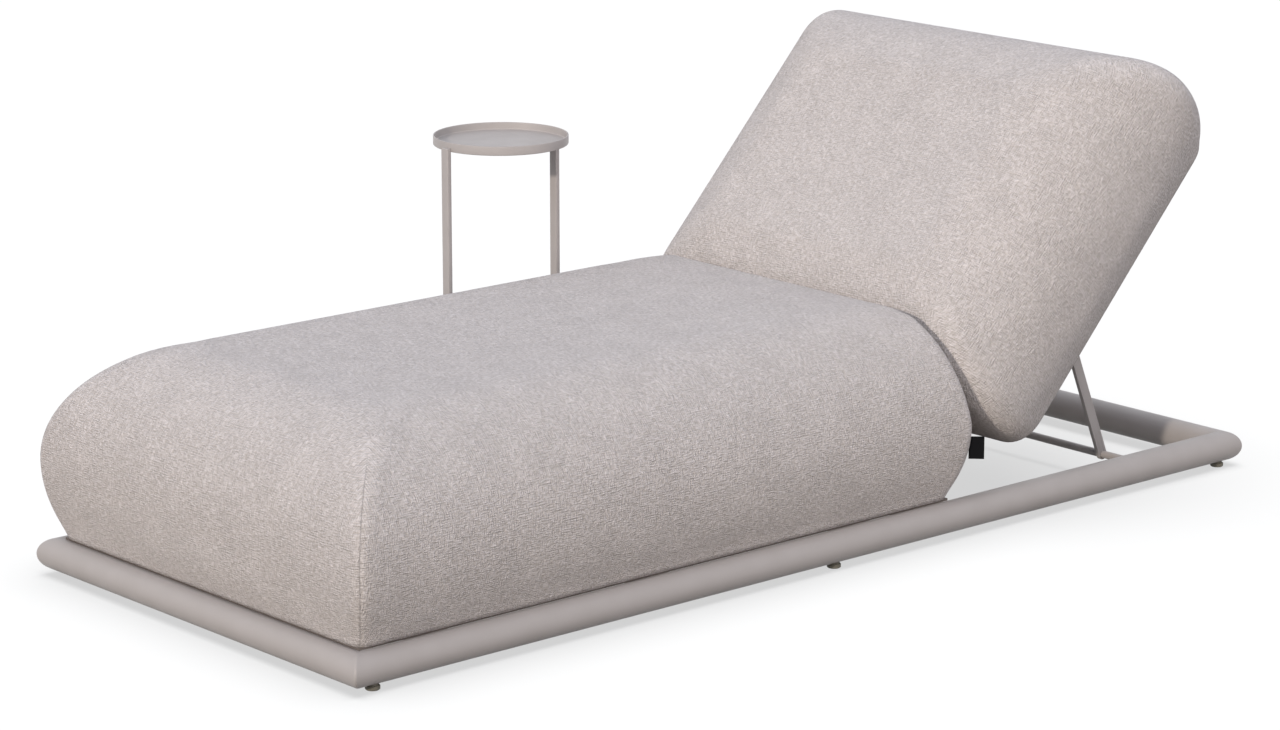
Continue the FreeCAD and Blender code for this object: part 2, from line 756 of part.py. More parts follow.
def saddle(label, side):
    """A block between the rail and a post, hollowed to the rail."""
    wide = D("post_wide")
    tall = D("screw_pitch") + D("screw_head") + D("side_play") * 2
    size = (-SADDLE_X - RAIL_X, wide, tall)
    block = box(label + "_block", size, (SADDLE_X, POST_MID * side - wide / 2, TUBE_Z - tall / 2))
    tools = [rail_rod(label + "_tube", -1)]
    for k in (1, -1):
        z = TUBE_Z + D("screw_pitch") / 2 * k
        name = label + ("_hole_up" if k > 0 else "_hole_low")
        start = (SADDLE_X - wide, POST_MID * side, z)
        tools.append(rod(name, D("screw_dia") / 2, wide * 2, start, ALONG_X))
    node(label, cut(label + "_piece", block, *tools))


def screws(label, side):
    """Two screws with low round heads through a post into its saddle."""
    parts = []
    for k in (1, -1):
        z = TUBE_Z + D("screw_pitch") / 2 * k
        word = "_up" if k > 0 else "_low"
        face = TRAY_X - D("post_wide") / 2
        head = (face - D("screw_head_thick"), POST_MID * side, z)
        shank = (face, POST_MID * side, z)
        long = D("post_wide") + D("screw_dia") * 3 / 4
        parts.append(
            join(
                label + word,
                rod(label + word + "_head", D("screw_head") / 2, D("screw_head_thick"), head, ALONG_X),
                rod(label + word + "_shank", D("screw_dia") / 2, long, shank, ALONG_X),
            )
        )
    pair = doc.addObject("Part::Compound", label + "_pair")
    pair.Links = parts
    node(label, pair)


for word, side in (("head", 1), ("foot", -1)):
    tray_post("tray_post_" + word, side)
    saddle("tray_saddle_" + word, side)
    screws("tray_screws_" + word, side)

# Checks on every object, then one file for each piece
doc.recompute()
bad = [o.Name for o in doc.Objects if "Invalid" in o.State or "Error" in o.State]
for label, piece in NODES.items():
    if piece.Shape.isNull() or not piece.Shape.isValid() or not piece.Shape.Solids:
        bad.append(label)
if bad:
    raise SystemExit("not built: " + ", ".join(bad))
os.makedirs("parts", exist_ok=True)
for label, piece in NODES.items():
    piece.Shape.exportStep("parts/%s.step" % label)
print(len(NODES), "pieces")
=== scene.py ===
import json
import math

import bpy
import numpy as np
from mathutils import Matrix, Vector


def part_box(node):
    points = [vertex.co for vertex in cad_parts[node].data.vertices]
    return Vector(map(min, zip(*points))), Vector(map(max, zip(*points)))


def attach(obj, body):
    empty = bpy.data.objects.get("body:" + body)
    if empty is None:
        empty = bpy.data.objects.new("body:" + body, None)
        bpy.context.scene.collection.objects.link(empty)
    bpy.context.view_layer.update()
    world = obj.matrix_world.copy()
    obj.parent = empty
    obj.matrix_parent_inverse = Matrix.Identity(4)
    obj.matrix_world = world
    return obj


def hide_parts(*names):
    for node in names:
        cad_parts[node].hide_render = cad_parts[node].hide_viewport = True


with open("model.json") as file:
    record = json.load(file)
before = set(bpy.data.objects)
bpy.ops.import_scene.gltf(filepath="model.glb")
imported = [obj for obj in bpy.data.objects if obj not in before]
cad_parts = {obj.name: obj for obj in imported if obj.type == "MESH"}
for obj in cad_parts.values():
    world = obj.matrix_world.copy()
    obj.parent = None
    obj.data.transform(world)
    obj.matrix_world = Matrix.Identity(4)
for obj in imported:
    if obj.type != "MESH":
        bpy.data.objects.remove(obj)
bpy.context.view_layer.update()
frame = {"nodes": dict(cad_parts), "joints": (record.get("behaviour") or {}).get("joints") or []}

nodes = frame["nodes"]

# Tube frame: four round steel tubes, mitred at 45 degrees and welded into one low rectangle.
# The welds are ground flush, which leaves a soft corner that is rounder outside than inside,
# and the whole frame is powder coated in one warm grey.
MM = 0.001
TUBE_RADIUS = 27.5 * MM
CORNER_OUTSIDE = 4 * MM
CORNER_INSIDE = 2 * MM
COAT_HEX = "#aba5a3"
COAT_SHADE_HEX = "#a39d9a"


def linear(colour):
    """sRGB hex to linear RGBA: each channel goes through the sRGB transfer curve."""
    c = np.array([int(colour[i:i + 2], 16) for i in (1, 3, 5)]) / 255
    rgb = np.where(c <= 0.04045, c / 12.92, ((c + 0.055) / 1.055) ** 2.4)
    return (*rgb.tolist(), 1.0)


def add(tree, kind, settings):
    """Adds a node: a setting is a property or an input, and a socket as its value is linked."""
    node = tree.nodes.new(kind)
    for name, value in settings.items():
        if isinstance(name, str) and name in node.bl_rna.properties:
            setattr(node, name, value)
        elif isinstance(value, bpy.types.NodeSocket):
            tree.links.new(value, node.inputs[name])
        else:
            node.inputs[name].default_value = value
    return node


def finish_named(name):
    """A new material and its emptied node tree."""
    material = bpy.data.materials.new(name)
    material.use_nodes = True
    material.node_tree.nodes.clear()
    return material, material.node_tree


def powder_coat(name, main_hex, shade_hex):
    """Polyester powder coat on metal, sprayed and baked: a satin skin that hides what is under it.
    It gives a soft broad highlight, a faint orange peel about 1.5 mm across and faint mottling."""
    peel_mm, mottle_mm = 1.5, 45.0
    material, tree = finish_named(name)
    place = add(tree, "ShaderNodeTexCoord", {}).outputs["Object"]
    peel = add(tree, "ShaderNodeTexNoise", {
        "Vector": place, "Scale": 1 / (peel_mm * MM), "Detail": 1.0})
    mottle = add(tree, "ShaderNodeTexNoise", {
        "Vector": place, "Scale": 1 / (mottle_mm * MM), "Detail": 3.0})
    tint = add(tree, "ShaderNodeMix", {
        "data_type": "RGBA", 0: mottle.outputs["Fac"], 6: linear(main_hex), 7: linear(shade_hex)})
    sheen = add(tree, "ShaderNodeMapRange", {
        0: mottle.outputs["Fac"], 1: 0.3, 2: 0.7, 3: 0.40, 4: 0.48})
    bump = add(tree, "ShaderNodeBump", {
        "Height": peel.outputs["Fac"], "Strength": 0.10, "Distance": 0.12 * MM})
    shader = add(tree, "ShaderNodeBsdfPrincipled", {
        "Base Color": tint.outputs[2], "Roughness": sheen.outputs[0], "Normal": bump.outputs[0],
        "IOR": 1.5, "Specular IOR Level": 0.4})
    add(tree, "ShaderNodeOutputMaterial", {"Surface": shader.outputs[0]})
    return material


def quads_of(rows, columns, wrap_rows=False, wrap_columns=False):
    """Corner numbers of the quads on a grid of points, joined end to end where it wraps."""
    number = np.arange(rows * columns).reshape(rows, columns)
    if wrap_rows:
        number = np.vstack([number, number[:1]])
    if wrap_columns:
        number = np.hstack([number, number[:, :1]])
    corners = (number[:-1, :-1], number[:-1, 1:], number[1:, 1:], number[1:, :-1])
    return np.stack(corners, -1).reshape(-1, 4)


def solid(name, points, faces, material, flat_above=40, caps=()):
    """A closed mesh: like points are merged, pinched quads become triangles, and it faces outwards.
    Edges that bend by more than flat_above degrees stay crisp; caps are extra polygons."""
    points = np.asarray(points, float).reshape(-1, 3)
    kept, same = np.unique(np.round(points, 6), axis=0, return_inverse=True)
    same = same.reshape(-1)
    quads = same[faces]
    pinched = quads == np.roll(quads, -1, 1)
    whole = quads[~pinched.any(1)]
    once = pinched.sum(1) == 1
    threes = quads[once][~pinched[once]].reshape(-1, 3)
    lids = [same[np.asarray(cap)].tolist() for cap in caps]
    corners = kept[np.vstack([whole[:, :3], whole[:, [0, 2, 3]], threes])]
    volume = np.einsum("ij,ij->i", corners[:, 0], np.cross(corners[:, 1], corners[:, 2])).sum()
    polygons = whole.tolist() + threes.tolist() + lids
    if volume < 0:
        polygons = [p[::-1] for p in polygons]
    mesh = bpy.data.meshes.new(name)
    mesh.from_pydata(kept.tolist(), [], polygons)
    mesh.polygons.foreach_set("use_smooth", np.ones(len(polygons), bool))
    mesh.set_sharp_from_angle(angle=math.radians(flat_above))
    mesh.materials.append(material)
    piece = bpy.data.objects.new(name, mesh)
    bpy.context.scene.collection.objects.link(piece)
    return piece


def put(piece, body, slot, *replaced):
    """Rides a piece on its body and hides the CAD nodes that it stands for. Its finish slot is not used."""
    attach(piece, body)
    if replaced:
        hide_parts(*replaced)
    return piece


def frame_surface(low, high, around=40, turn=9):
    """A circle of the tube's radius carried round a rectangle: at each place on the circle the path
    is a rounded rectangle that grows with the cosine and rises with the sine of the section's angle.
    The corner radius slides from the inside value to the outside one with the same cosine."""
    angle = np.linspace(0, 2 * np.pi, around, endpoint=False)
    middle = (low + high) / 2
    half = (high - low)[:2] / 2 - TUBE_RADIUS
    grown = TUBE_RADIUS * np.cos(angle)
    share = (1 + np.cos(angle)) / 2
    radius = CORNER_INSIDE + (CORNER_OUTSIDE - CORNER_INSIDE) * share
    sweep = np.linspace(0, np.pi / 2, turn)
    rings = []
    for quarter, (sx, sy) in enumerate(((1, 1), (-1, 1), (-1, -1), (1, -1))):
        bend = sweep + quarter * np.pi / 2
        centre_x = sx * (half[0] + grown - radius)
        centre_y = sy * (half[1] + grown - radius)
        x = centre_x[:, None] + radius[:, None] * np.cos(bend)
        y = centre_y[:, None] + radius[:, None] * np.sin(bend)
        rings.append(np.stack([x, y, np.repeat(TUBE_RADIUS * np.sin(angle)[:, None], turn, 1)], -1))
    return np.concatenate(rings, 1) + middle


coat = powder_coat("powder_coat_warm_grey", COAT_HEX, COAT_SHADE_HEX)
rails = ("side_rail_near", "side_rail_far", "foot_rail", "head_rail")
rail_boxes = np.array([[list(corner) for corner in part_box(rail)] for rail in rails])
frame_low, frame_high = rail_boxes[:, 0].min(0), rail_boxes[:, 1].max(0)
surface = frame_surface(frame_low, frame_high)
tube_frame = solid("tube_frame", surface, quads_of(*surface.shape[:2], True, True), coat, 80)
put(tube_frame, "frame", "frame_paint", *rails)

# Glides: moulded polyamide feet screwed into the underside of the side rails.
# A wide pad with a small chamfer stands on the floor, and a narrower neck goes up into the tube.
GLIDE_RADIUS = 12 * MM
NECK_RADIUS = 8.5 * MM
PAD_HIGH = 7.5 * MM
PAD_CHAMFER = 1.4 * MM
NECK_SHORT = 1.0 * MM
GLIDE_HEX = "#6d685c"


def moulded(name, main_hex, grain_mm, roughness):
    """Moulded polymer: dull, even, with a fine spark-eroded grain that breaks up the highlight."""
    material, tree = finish_named(name)
    place = add(tree, "ShaderNodeTexCoord", {}).outputs["Object"]
    grain = add(tree, "ShaderNodeTexNoise", {"Vector": place, "Scale": 1 / (grain_mm * MM), "Detail": 2.0})
    grain_dark = 0.75
    dark = [channel * grain_dark for channel in linear(main_hex)[:3]] + [1.0]
    tint = add(tree, "ShaderNodeMix", {
        "data_type": "RGBA", 0: grain.outputs["Fac"], 6: linear(main_hex), 7: dark})
    bump = add(tree, "ShaderNodeBump", {
        "Height": grain.outputs["Fac"], "Strength": 0.25, "Distance": 0.1 * MM})
    shader = add(tree, "ShaderNodeBsdfPrincipled", {
        "Base Color": tint.outputs[2], "Roughness": roughness, "Normal": bump.outputs[0], "IOR": 1.53})
    add(tree, "ShaderNodeOutputMaterial", {"Surface": shader.outputs[0]})
    return material


def turned(name, outline, centre, material, around=48, flat_above=40):
    """An outline of radius and height pairs, spun about an upright axis through the centre."""
    outline = np.asarray(outline, float)
    angle = np.linspace(0, 2 * np.pi, around, endpoint=False)
    x = centre[0] + outline[:, :1] * np.cos(angle)
    y = centre[1] + outline[:, :1] * np.sin(angle)
    z = np.repeat(outline[:, 1:], around, 1)
    points = np.stack([x, y, z], -1)
    return solid(name, points, quads_of(len(outline), around, False, True), material, flat_above)


nylon = moulded("polyamide_glide", GLIDE_HEX, 0.6, 0.55)
for place in ("foot", "middle", "head"):
    for side in ("near", "far"):
        low, high = (np.array(corner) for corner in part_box(f"glide_{place}_{side}"))
        middle = (low + high) / 2
        neck_top = high[2] - NECK_SHORT
        pad_flat = GLIDE_RADIUS - PAD_CHAMFER
        outline = [
            (0, 0), (pad_flat, 0), (GLIDE_RADIUS, PAD_CHAMFER),
            (GLIDE_RADIUS, PAD_HIGH - PAD_CHAMFER), (pad_flat, PAD_HIGH),
            (NECK_RADIUS, PAD_HIGH), (NECK_RADIUS, neck_top), (0, neck_top)]
        pad = turned(f"glide_pad_{place}_{side}", outline, middle, nylon)
        put(pad, "frame", "glide", f"glide_{place}_{side}")

# Cross bars: rectangular steel tubes welded between the side rails to carry the seat board, with
# a further one at the rear for the backrest hinge. They are coated with the frame.


def keep_node(name, material, edge=0.0):
    """A CAD node that stays in view: its material, and a small bevel on its crisp edges."""
    node = nodes[name]
    node.data.materials.clear()
    node.data.materials.append(material)
    if edge:
        weld = node.modifiers.new("weld", "WELD")
        weld.merge_threshold = 0.01 * MM
        bevel = node.modifiers.new("edge", "BEVEL")
        bevel.width = edge
        bevel.segments = 2
        bevel.limit_method = "ANGLE"
        bevel.angle_limit = math.radians(50)
        bevel.use_clamp_overlap = True
    return node


for name in ("seat_bar_foot", "seat_bar_middle", "seat_bar_rear", "hinge_bar"):
    keep_node(name, coat)

# Seat board: a flat coated aluminium sheet laid on the cross bars, nearly as large as the cushion's
# base. Only its edge shows, as a thin line between the cushion and the tubes; its brown-grey, darker
# than the frame, is painted shade for the shadow in that gap.
BOARD_GAP_SHADE_HEX = "#6f6661"
BOARD_GAP_SHADE_MOTTLE_HEX = "#665d58"
# Painted shade: the board is coloured darker than the frame to stand for the gap's shadow.
keep_node("seat_board", powder_coat("powder_coat_gap_shade_brown_grey", BOARD_GAP_SHADE_HEX, BOARD_GAP_SHADE_MOTTLE_HEX))

# Seat cushion: a deep foam block in a tight outdoor fabric cover, glued down on the seat board. One
# sheet folds over all four sides, with a sewn dart at each corner that fades out on the shoulder.
# The rear end is a nearly straight wall with a tight turn, to fill the space before the backrest.
SIDE_INSET = 40 * MM
END_INSET = 29 * MM
BULGE_HIGH = 133 * MM
CUSHION_HIGH = 328 * MM
SHOULDER = CUSHION_HIGH - BULGE_HIGH
DART_INSET = 105 * MM
CELL = 15 * MM
SEAT_CORNER = 24 * MM
TOP_CORNER = 46 * MM
REAR_LEAN = 42 * MM
REAR_TURN = 34 * MM
REAR_CORNER = 20 * MM
CORNER_BLEND = 60 * MM
CROWN = 1 * MM
START_IN = 3 * MM
SWELL_MOST = 3 * MM
SWELL_FRAMES = 20
SEAM_DEEP = 1.0 * MM
SEAM_HALF = 2.6 * MM
SEAM_FADE = 120 * MM
SEAM_AWAY = 100 * MM
YARN_LIGHT_HEX = "#e2dbd9"
YARN_MIDDLE_HEX = "#d1c9c8"
YARN_DARK_HEX = "#a49c93"
YARN_MM = 3.8


def crossed(tree, cloth, wide_mm, long_mm, detail):
    """Streaks of noise along the warp plus the like along the weft, each long_mm by wide_mm."""
    runs = []
    for across, along in ((wide_mm, long_mm), (long_mm, wide_mm)):
        stretch = add(tree, "ShaderNodeVectorMath", {
            "operation": "MULTIPLY", 0: cloth, 1: (1 / (across * MM), 1 / (along * MM), 1.0)})
        run = add(tree, "ShaderNodeTexNoise", {
            "noise_dimensions": "2D", "Vector": stretch.outputs[0], "Scale": 1.0, "Detail": detail})
        runs.append(run.outputs["Fac"])
    return add(tree, "ShaderNodeMath", {"operation": "ADD", 0: runs[0], 1: runs[1]}).outputs[0]


def woven_fabric(name):
    """Solution-dyed acrylic upholstery cloth, a plain weave of thick heather yarns. The eye sees a
    dull grainy cloth: each crossing has its own tone, and long slubs and short nubs run both ways.
    Shade is painted into the grooves between the yarns and along the seams.
    The real yarn is about 2 mm; it is drawn at nearly twice that so that it shows in the render."""
    slub_long_mm, slub_wide_mm, nub_long_mm, nub_wide_mm, cloud_mm = 34.0, 3.0, 10.0, 2.4, 70.0
    relief_mm, seam_shade_mm, seam_clear_mm = 1.7, 0.3, 2.0
    slub_share, pick_share, plain_share, yarn_share = 0.3, 0.3, 0.35, 0.5
    wobble_rate, wobble_reach, yarn_bulge = 0.35, 0.9, 0.6
    material, tree = finish_named(name)
    cloth = add(tree, "ShaderNodeUVMap", {"uv_map": "cloth"}).outputs["UV"]
    yarns = add(tree, "ShaderNodeVectorMath", {
        "operation": "SCALE", 0: cloth, "Scale": 1 / (YARN_MM * MM)}).outputs[0]
    wobble = add(tree, "ShaderNodeTexNoise", {"Vector": yarns, "Scale": wobble_rate, "Detail": 1.0})
    drift = add(tree, "ShaderNodeVectorMath", {
        "operation": "SCALE", 0: wobble.outputs["Color"], "Scale": wobble_reach}).outputs[0]
    loose = add(tree, "ShaderNodeVectorMath", {"operation": "ADD", 0: yarns, 1: drift}).outputs[0]
    pick = add(tree, "ShaderNodeVectorMath", {"operation": "FLOOR", 0: loose}).outputs[0]
    shade = add(tree, "ShaderNodeTexWhiteNoise", {"noise_dimensions": "2D", "Vector": pick})
    axes = add(tree, "ShaderNodeSeparateXYZ", {0: loose})
    ridges = []
    for axis in (0, 1):
        turn = add(tree, "ShaderNodeMath", {"operation": "MULTIPLY", 0: axes.outputs[axis], 1: math.pi})
        wave = add(tree, "ShaderNodeMath", {"operation": "SINE", 0: turn.outputs[0]})
        ridge = add(tree, "ShaderNodeMath", {"operation": "ABSOLUTE", 0: wave.outputs[0]})
        ridges.append(ridge.outputs[0])
    pillow = add(tree, "ShaderNodeMath", {"operation": "MULTIPLY", 0: ridges[0], 1: ridges[1]}).outputs[0]
    round_yarn = add(tree, "ShaderNodeMath", {"operation": "POWER", 0: pillow, 1: yarn_bulge}).outputs[0]
    slubs = crossed(tree, cloth, slub_wide_mm, slub_long_mm, 2.0)
    clouds = add(tree, "ShaderNodeTexNoise", {
        "noise_dimensions": "2D", "Vector": cloth, "Scale": 1 / (cloud_mm * MM), "Detail": 2.0})
    nubs = add(tree, "ShaderNodeMapRange", {
        0: crossed(tree, cloth, nub_wide_mm, nub_long_mm, 1.0), 1: 0.69, 2: 1.31, 3: 0.0, 4: 1.0}).outputs[0]
    mixed = add(tree, "ShaderNodeMath", {
        "operation": "MULTIPLY_ADD", 0: slubs, 1: slub_share, 2: nubs}).outputs[0]
    mixed = add(tree, "ShaderNodeMath", {
        "operation": "MULTIPLY_ADD", 0: shade.outputs["Value"], 1: pick_share, 2: mixed}).outputs[0]
    tone = add(tree, "ShaderNodeMapRange", {0: mixed, 1: 0.3, 2: 1.6, 3: 0.0, 4: 1.0}).outputs[0]
    heather = add(tree, "ShaderNodeMix", {
        "data_type": "RGBA", 0: tone, 6: linear(YARN_DARK_HEX), 7: linear(YARN_LIGHT_HEX)}).outputs[2]
    even = add(tree, "ShaderNodeMix", {
        "data_type": "RGBA", 0: plain_share, 6: heather, 7: linear(YARN_MIDDLE_HEX)}).outputs[2]
    cloudy = add(tree, "ShaderNodeMapRange", {
        0: clouds.outputs["Fac"], 1: 0.3, 2: 0.7, 3: 0.96, 4: 1.03}).outputs[0]
    # Painted shade: the colour is darkened in the grooves between the yarns and made a touch lighter on
    # their crowns.
    yarn_groove_shade = add(tree, "ShaderNodeMapRange", {0: round_yarn, 1: 0.0, 2: 0.7, 3: 0.86, 4: 1.03}).outputs[0]
    # Painted shade: the cloth is darkened along the seams, where it dips in.
    gap = add(tree, "ShaderNodeAttribute", {"attribute_name": "seam_gap"}).outputs["Fac"]
    seam_crease_shade = add(tree, "ShaderNodeMapRange", {
        "interpolation_type": "SMOOTHSTEP", 0: gap, 1: seam_shade_mm * MM, 2: seam_clear_mm * MM,
        3: 0.68, 4: 1.0}).outputs[0]
    # The random clouds times the painted shade of the yarn grooves and the seams.
    clouds_and_painted_shade = add(tree, "ShaderNodeMath", {"operation": "MULTIPLY", 0: cloudy, 1: yarn_groove_shade}).outputs[0]
    clouds_and_painted_shade = add(tree, "ShaderNodeMath", {"operation": "MULTIPLY", 0: clouds_and_painted_shade, 1: seam_crease_shade}).outputs[0]
    colour = add(tree, "ShaderNodeVectorMath", {"operation": "SCALE", 0: even, "Scale": clouds_and_painted_shade}).outputs[0]
    uneven = add(tree, "ShaderNodeMapRange", {0: shade.outputs["Value"], 3: 0.45, 4: 1.35}).outputs[0]
    height = add(tree, "ShaderNodeMath", {"operation": "MULTIPLY", 0: uneven, 1: round_yarn}).outputs[0]
    height = add(tree, "ShaderNodeMath", {
        "operation": "MULTIPLY_ADD", 0: height, 1: yarn_share, 2: nubs}).outputs[0]
    bump = add(tree, "ShaderNodeBump", {"Height": height, "Strength": 1.0, "Distance": relief_mm * MM})
    shader = add(tree, "ShaderNodeBsdfPrincipled", {
        "Base Color": colour, "Roughness": 0.92, "Specular IOR Level": 0.15, "Normal": bump.outputs[0],
        "Sheen Weight": 0.18, "Sheen Roughness": 0.45})
    add(tree, "ShaderNodeOutputMaterial", {"Surface": shader.outputs[0]})
    return material


def profile(base_inset, lean, turn, steps=60):
    """One side of the cushion from its base to the flat top, as inset, height and cloth length.
    A wide arc leans out from the base to the bulge, a straight wall leans in from there, and an arc
    of radius turn, tangent to the wall and the top, joins the two. With no lean and a turn of
    SHOULDER there is no wall. The cloth length is counted from the flat top downwards."""
    swing = (base_inset ** 2 + BULGE_HIGH ** 2) / (2 * base_inset)
    low = np.linspace(0, BULGE_HIGH, steps)
    trim = turn * (math.hypot(lean, SHOULDER) - lean) / SHOULDER
    bend = np.linspace(math.atan2(lean, SHOULDER), np.pi / 2, steps)
    drawn_in = swing - np.sqrt(swing ** 2 - (BULGE_HIGH - low) ** 2)
    inset = np.concatenate([drawn_in, lean + trim - turn * np.cos(bend)])
    height = np.concatenate([low, CUSHION_HIGH - turn + turn * np.sin(bend)])
    step = np.hypot(np.diff(inset), np.diff(height))
    length = np.append(np.cumsum(step[::-1])[::-1], 0)
    return inset, height, length


def row_heights():
    """Heights of the rows up a side, about a cell of cloth apart, from the base to the dart's tip."""
    tip = math.acos(1 - DART_INSET / SHOULDER)
    below = np.linspace(0, BULGE_HIGH, round(BULGE_HIGH / CELL) + 1)[:-1]
    above = np.linspace(0, tip, round(SHOULDER * tip / CELL) + 1)
    return np.concatenate([below, BULGE_HIGH + SHOULDER * np.sin(above)])


def column_shares(half):
    """Places along half a side as shares of it, closer together beside the corner seam."""
    seam_steps = np.array([0, 6, 14, 26]) * MM
    rest = np.linspace(seam_steps[-1], half, round((half - seam_steps[-1]) / CELL) + 1)[1:]
    return np.concatenate([seam_steps, rest]) / half


def side_panel(out, first, last):
    """One side of the cushion as rows up and columns along: the level line in each row is one side of
    a rounded rectangle, from the middle of one corner arc to the middle of the next. It is made in
    two halves, each with its reach from the middle and its corner radius."""
    halves = []
    for along, radius in (first, last):
        half_arc = radius * np.pi / 4
        travelled = column_shares(along.max()) * (along - radius + half_arc)[:, None]
        bend = np.minimum(travelled / radius[:, None], np.pi / 4) - np.pi / 4
        past = np.maximum(travelled - half_arc[:, None], 0)
        x = (out - radius)[:, None] + radius[:, None] * np.cos(bend)
        y = (radius - along)[:, None] + radius[:, None] * np.sin(bend) + past
        halves.append((x, y, travelled))
    (x, y, gap), (x_last, y_last, gap_last) = halves
    return (np.hstack([x, x_last[:, -2::-1]]), np.hstack([y, -y_last[:, -2::-1]]),
            np.hstack([gap, gap_last[:, -2::-1]]))


def filled(foot, head, far, near):
    """A Coons patch: the four edge lines blended across, less the blend of the four corners."""
    s = ((foot[:, 0] - foot[0, 0]) / (foot[-1, 0] - foot[0, 0]))[None, :, None]
    t = ((far[:, 1] - far[0, 1]) / (far[-1, 1] - far[0, 1]))[:, None, None]
    ruled = (1 - t) * foot[None] + t * head[None] + (1 - s) * far[:, None] + s * near[:, None]
    corners = (1 - t) * ((1 - s) * foot[0] + s * foot[-1]) + t * ((1 - s) * head[0] + s * head[-1])
    return ruled - corners


def rounded_least(a, b, radius):
    """The lesser of two insets, rounded where they come within one radius of each other."""
    near = np.abs(a - b) < radius
    root = np.sqrt(np.maximum(2 * radius ** 2 - (a - b) ** 2, 0))
    return np.where(near, (a + b + root) / 2 - radius, np.minimum(a, b))


def as_round(inset, table):
    """The inset at which a plain round shoulder is as high as this profile is at the given inset."""
    flat = table[0][-1]
    upper = table[1] >= BULGE_HIGH
    rise = np.interp(inset, table[0][upper], table[1][upper]) - BULGE_HIGH
    return SHOULDER - np.sqrt(np.maximum(SHOULDER ** 2 - rise ** 2, 0)) + np.maximum(inset - flat, 0)


def draped(inset, half, table):
    """Cloth length from the cushion's middle to an inset: straight on top, then down the profile."""
    upper = table[1] >= BULGE_HIGH
    down = np.interp(inset, table[0][upper], table[2][upper])
    return half - np.maximum(inset, table[0][-1]) + down


def top_patch(rim, halves, side, ends, corners):
    """The top inside the four panels' upper edges. Its height is the profile's at the lesser of the
    insets from the sides and the ends, rounded along the corners, plus a faint crown. Its cloth runs
    down the nearer profile, blended across the diagonals."""
    half_x, half_y = halves
    patch = filled(*rim)
    tip_height = rim[0][0, 2]
    x, y = patch[..., 0], patch[..., 1]
    across, short = half_x - np.abs(x), half_y - np.abs(y)
    along = np.where(y > 0, as_round(short, ends[1]), as_round(short, ends[-1]))
    least = rounded_least(across, along, np.where(y > 0, corners[1], corners[-1]))
    turn = np.clip(SHOULDER - least, 0, SHOULDER)
    crown = CROWN * np.cos(np.pi * x / (2 * half_x)) * np.clip(least / SHOULDER - 0.5, 0, 1)
    patch[..., 2] = BULGE_HIGH + np.sqrt(SHOULDER ** 2 - turn ** 2) + crown
    patch[[0, -1], :, 2] = tip_height
    patch[:, [0, -1], 2] = tip_height
    mix = np.clip((along - across) / CORNER_BLEND + 0.5, 0, 1)
    u = np.sign(x) * (mix * draped(across, half_x, side) + (1 - mix) * np.abs(x))
    hung = np.where(y > 0, draped(short, half_y, ends[1]), draped(short, half_y, ends[-1]))
    v = np.sign(y) * ((1 - mix) * hung + mix * np.abs(y))
    return patch, np.stack([u, v], -1)


def joined(grids, cloths, gaps, fade):
    """The panels in one list: points, quads, cloth coordinates per quad corner, distance from the
    seams and the seams' strength, which the four side panels have by row and the patches not at all."""
    points, quads, uvs, gap, strength = [], [], [], [], []
    start = 0
    for k, (grid, cloth, seam) in enumerate(zip(grids, cloths, gaps)):
        faces = quads_of(*grid.shape[:2])
        quads.append(faces + start)
        points.append(grid.reshape(-1, 3))
        uvs.append(cloth.reshape(-1, 2)[faces])
        gap.append(seam.reshape(-1))
        weight = np.repeat(fade[:, None], grid.shape[1], 1) if k < 4 else np.zeros(grid.shape[:2])
        strength.append(weight.reshape(-1))
        start += len(points[-1])
    return [np.concatenate(part) for part in (points, quads, uvs, gap, strength)]


def cushion_cover(half_x, half_y, corner, rear_lean=0, rear_turn=SHOULDER, rear_corner=TOP_CORNER):
    """The cover as joined gives it. Four side panels follow the profiles up and meet in the corner
    seams, whose radius grows with the square of the rise; a top and a base patch close them. An end
    is known by its direction along Y: 1 is the rear and -1 the foot."""
    height = row_heights()
    side = profile(SIDE_INSET, 0, SHOULDER)
    ends = {1: profile(END_INSET, rear_lean, rear_turn), -1: profile(END_INSET, 0, SHOULDER)}
    corners = {1: rear_corner, -1: TOP_CORNER}
    side_inset, side_length = (np.interp(height, side[1], side[k]) for k in (0, 2))
    reach_x = half_x - side_inset
    reach_y = {end: half_y - np.interp(height, table[1], table[0]) for end, table in ends.items()}
    rise = np.clip((height - BULGE_HIGH) / (height[-1] - BULGE_HIGH), 0, 1)
    radius = {end: corner + (top - corner) * rise ** 2 for end, top in corners.items()}
    level = height[:, None]
    fade = np.clip((side_length - side_length[-1]) / SEAM_FADE, 0, 1)
    grids, cloths, gaps = [], [], []
    for sign in (1, -1):
        first, last = ((reach_y[end], radius[end]) for end in (-sign, sign))
        out, along, gap = side_panel(reach_x, first, last)
        grids.append(np.stack([sign * out, sign * along, np.broadcast_to(level, out.shape)], -1))
        drop = (half_x - side[0][-1] + side_length)[:, None] + 0 * out
        cloths.append(np.stack([sign * drop, sign * along], -1))
        gaps.append(gap)
        first = last = (reach_x, radius[sign])
        out, along, gap = side_panel(reach_y[sign], first, last)
        grids.append(np.stack([-sign * along, sign * out, np.broadcast_to(level, out.shape)], -1))
        table = ends[sign]
        drop = (half_y - table[0][-1] + np.interp(height, table[1], table[2]))[:, None] + 0 * out
        cloths.append(np.stack([-sign * along, sign * drop], -1))
        gaps.append(gap)
    near, head, far, foot = grids
    rims = [(foot[row], head[row, ::-1], far[row, ::-1], near[row]) for row in (-1, 0)]
    top, top_cloth = top_patch(rims[0], (half_x, half_y), side, ends, corners)
    base = filled(*rims[1])[:, ::-1]
    grids += [top, base]
    cloths += [top_cloth, base[..., :2]]
    gaps += [np.full(patch.shape[:2], 2 * SEAM_AWAY) for patch in (top, base)]
    return joined(grids, cloths, gaps, fade)


def read(data, name, width):
    """A mesh property of all items as one array."""
    values = np.zeros(len(data) * width, np.int32 if name == "vertices" else np.float32)
    data.foreach_get(name, values)
    return values.reshape(-1, width).astype(float)


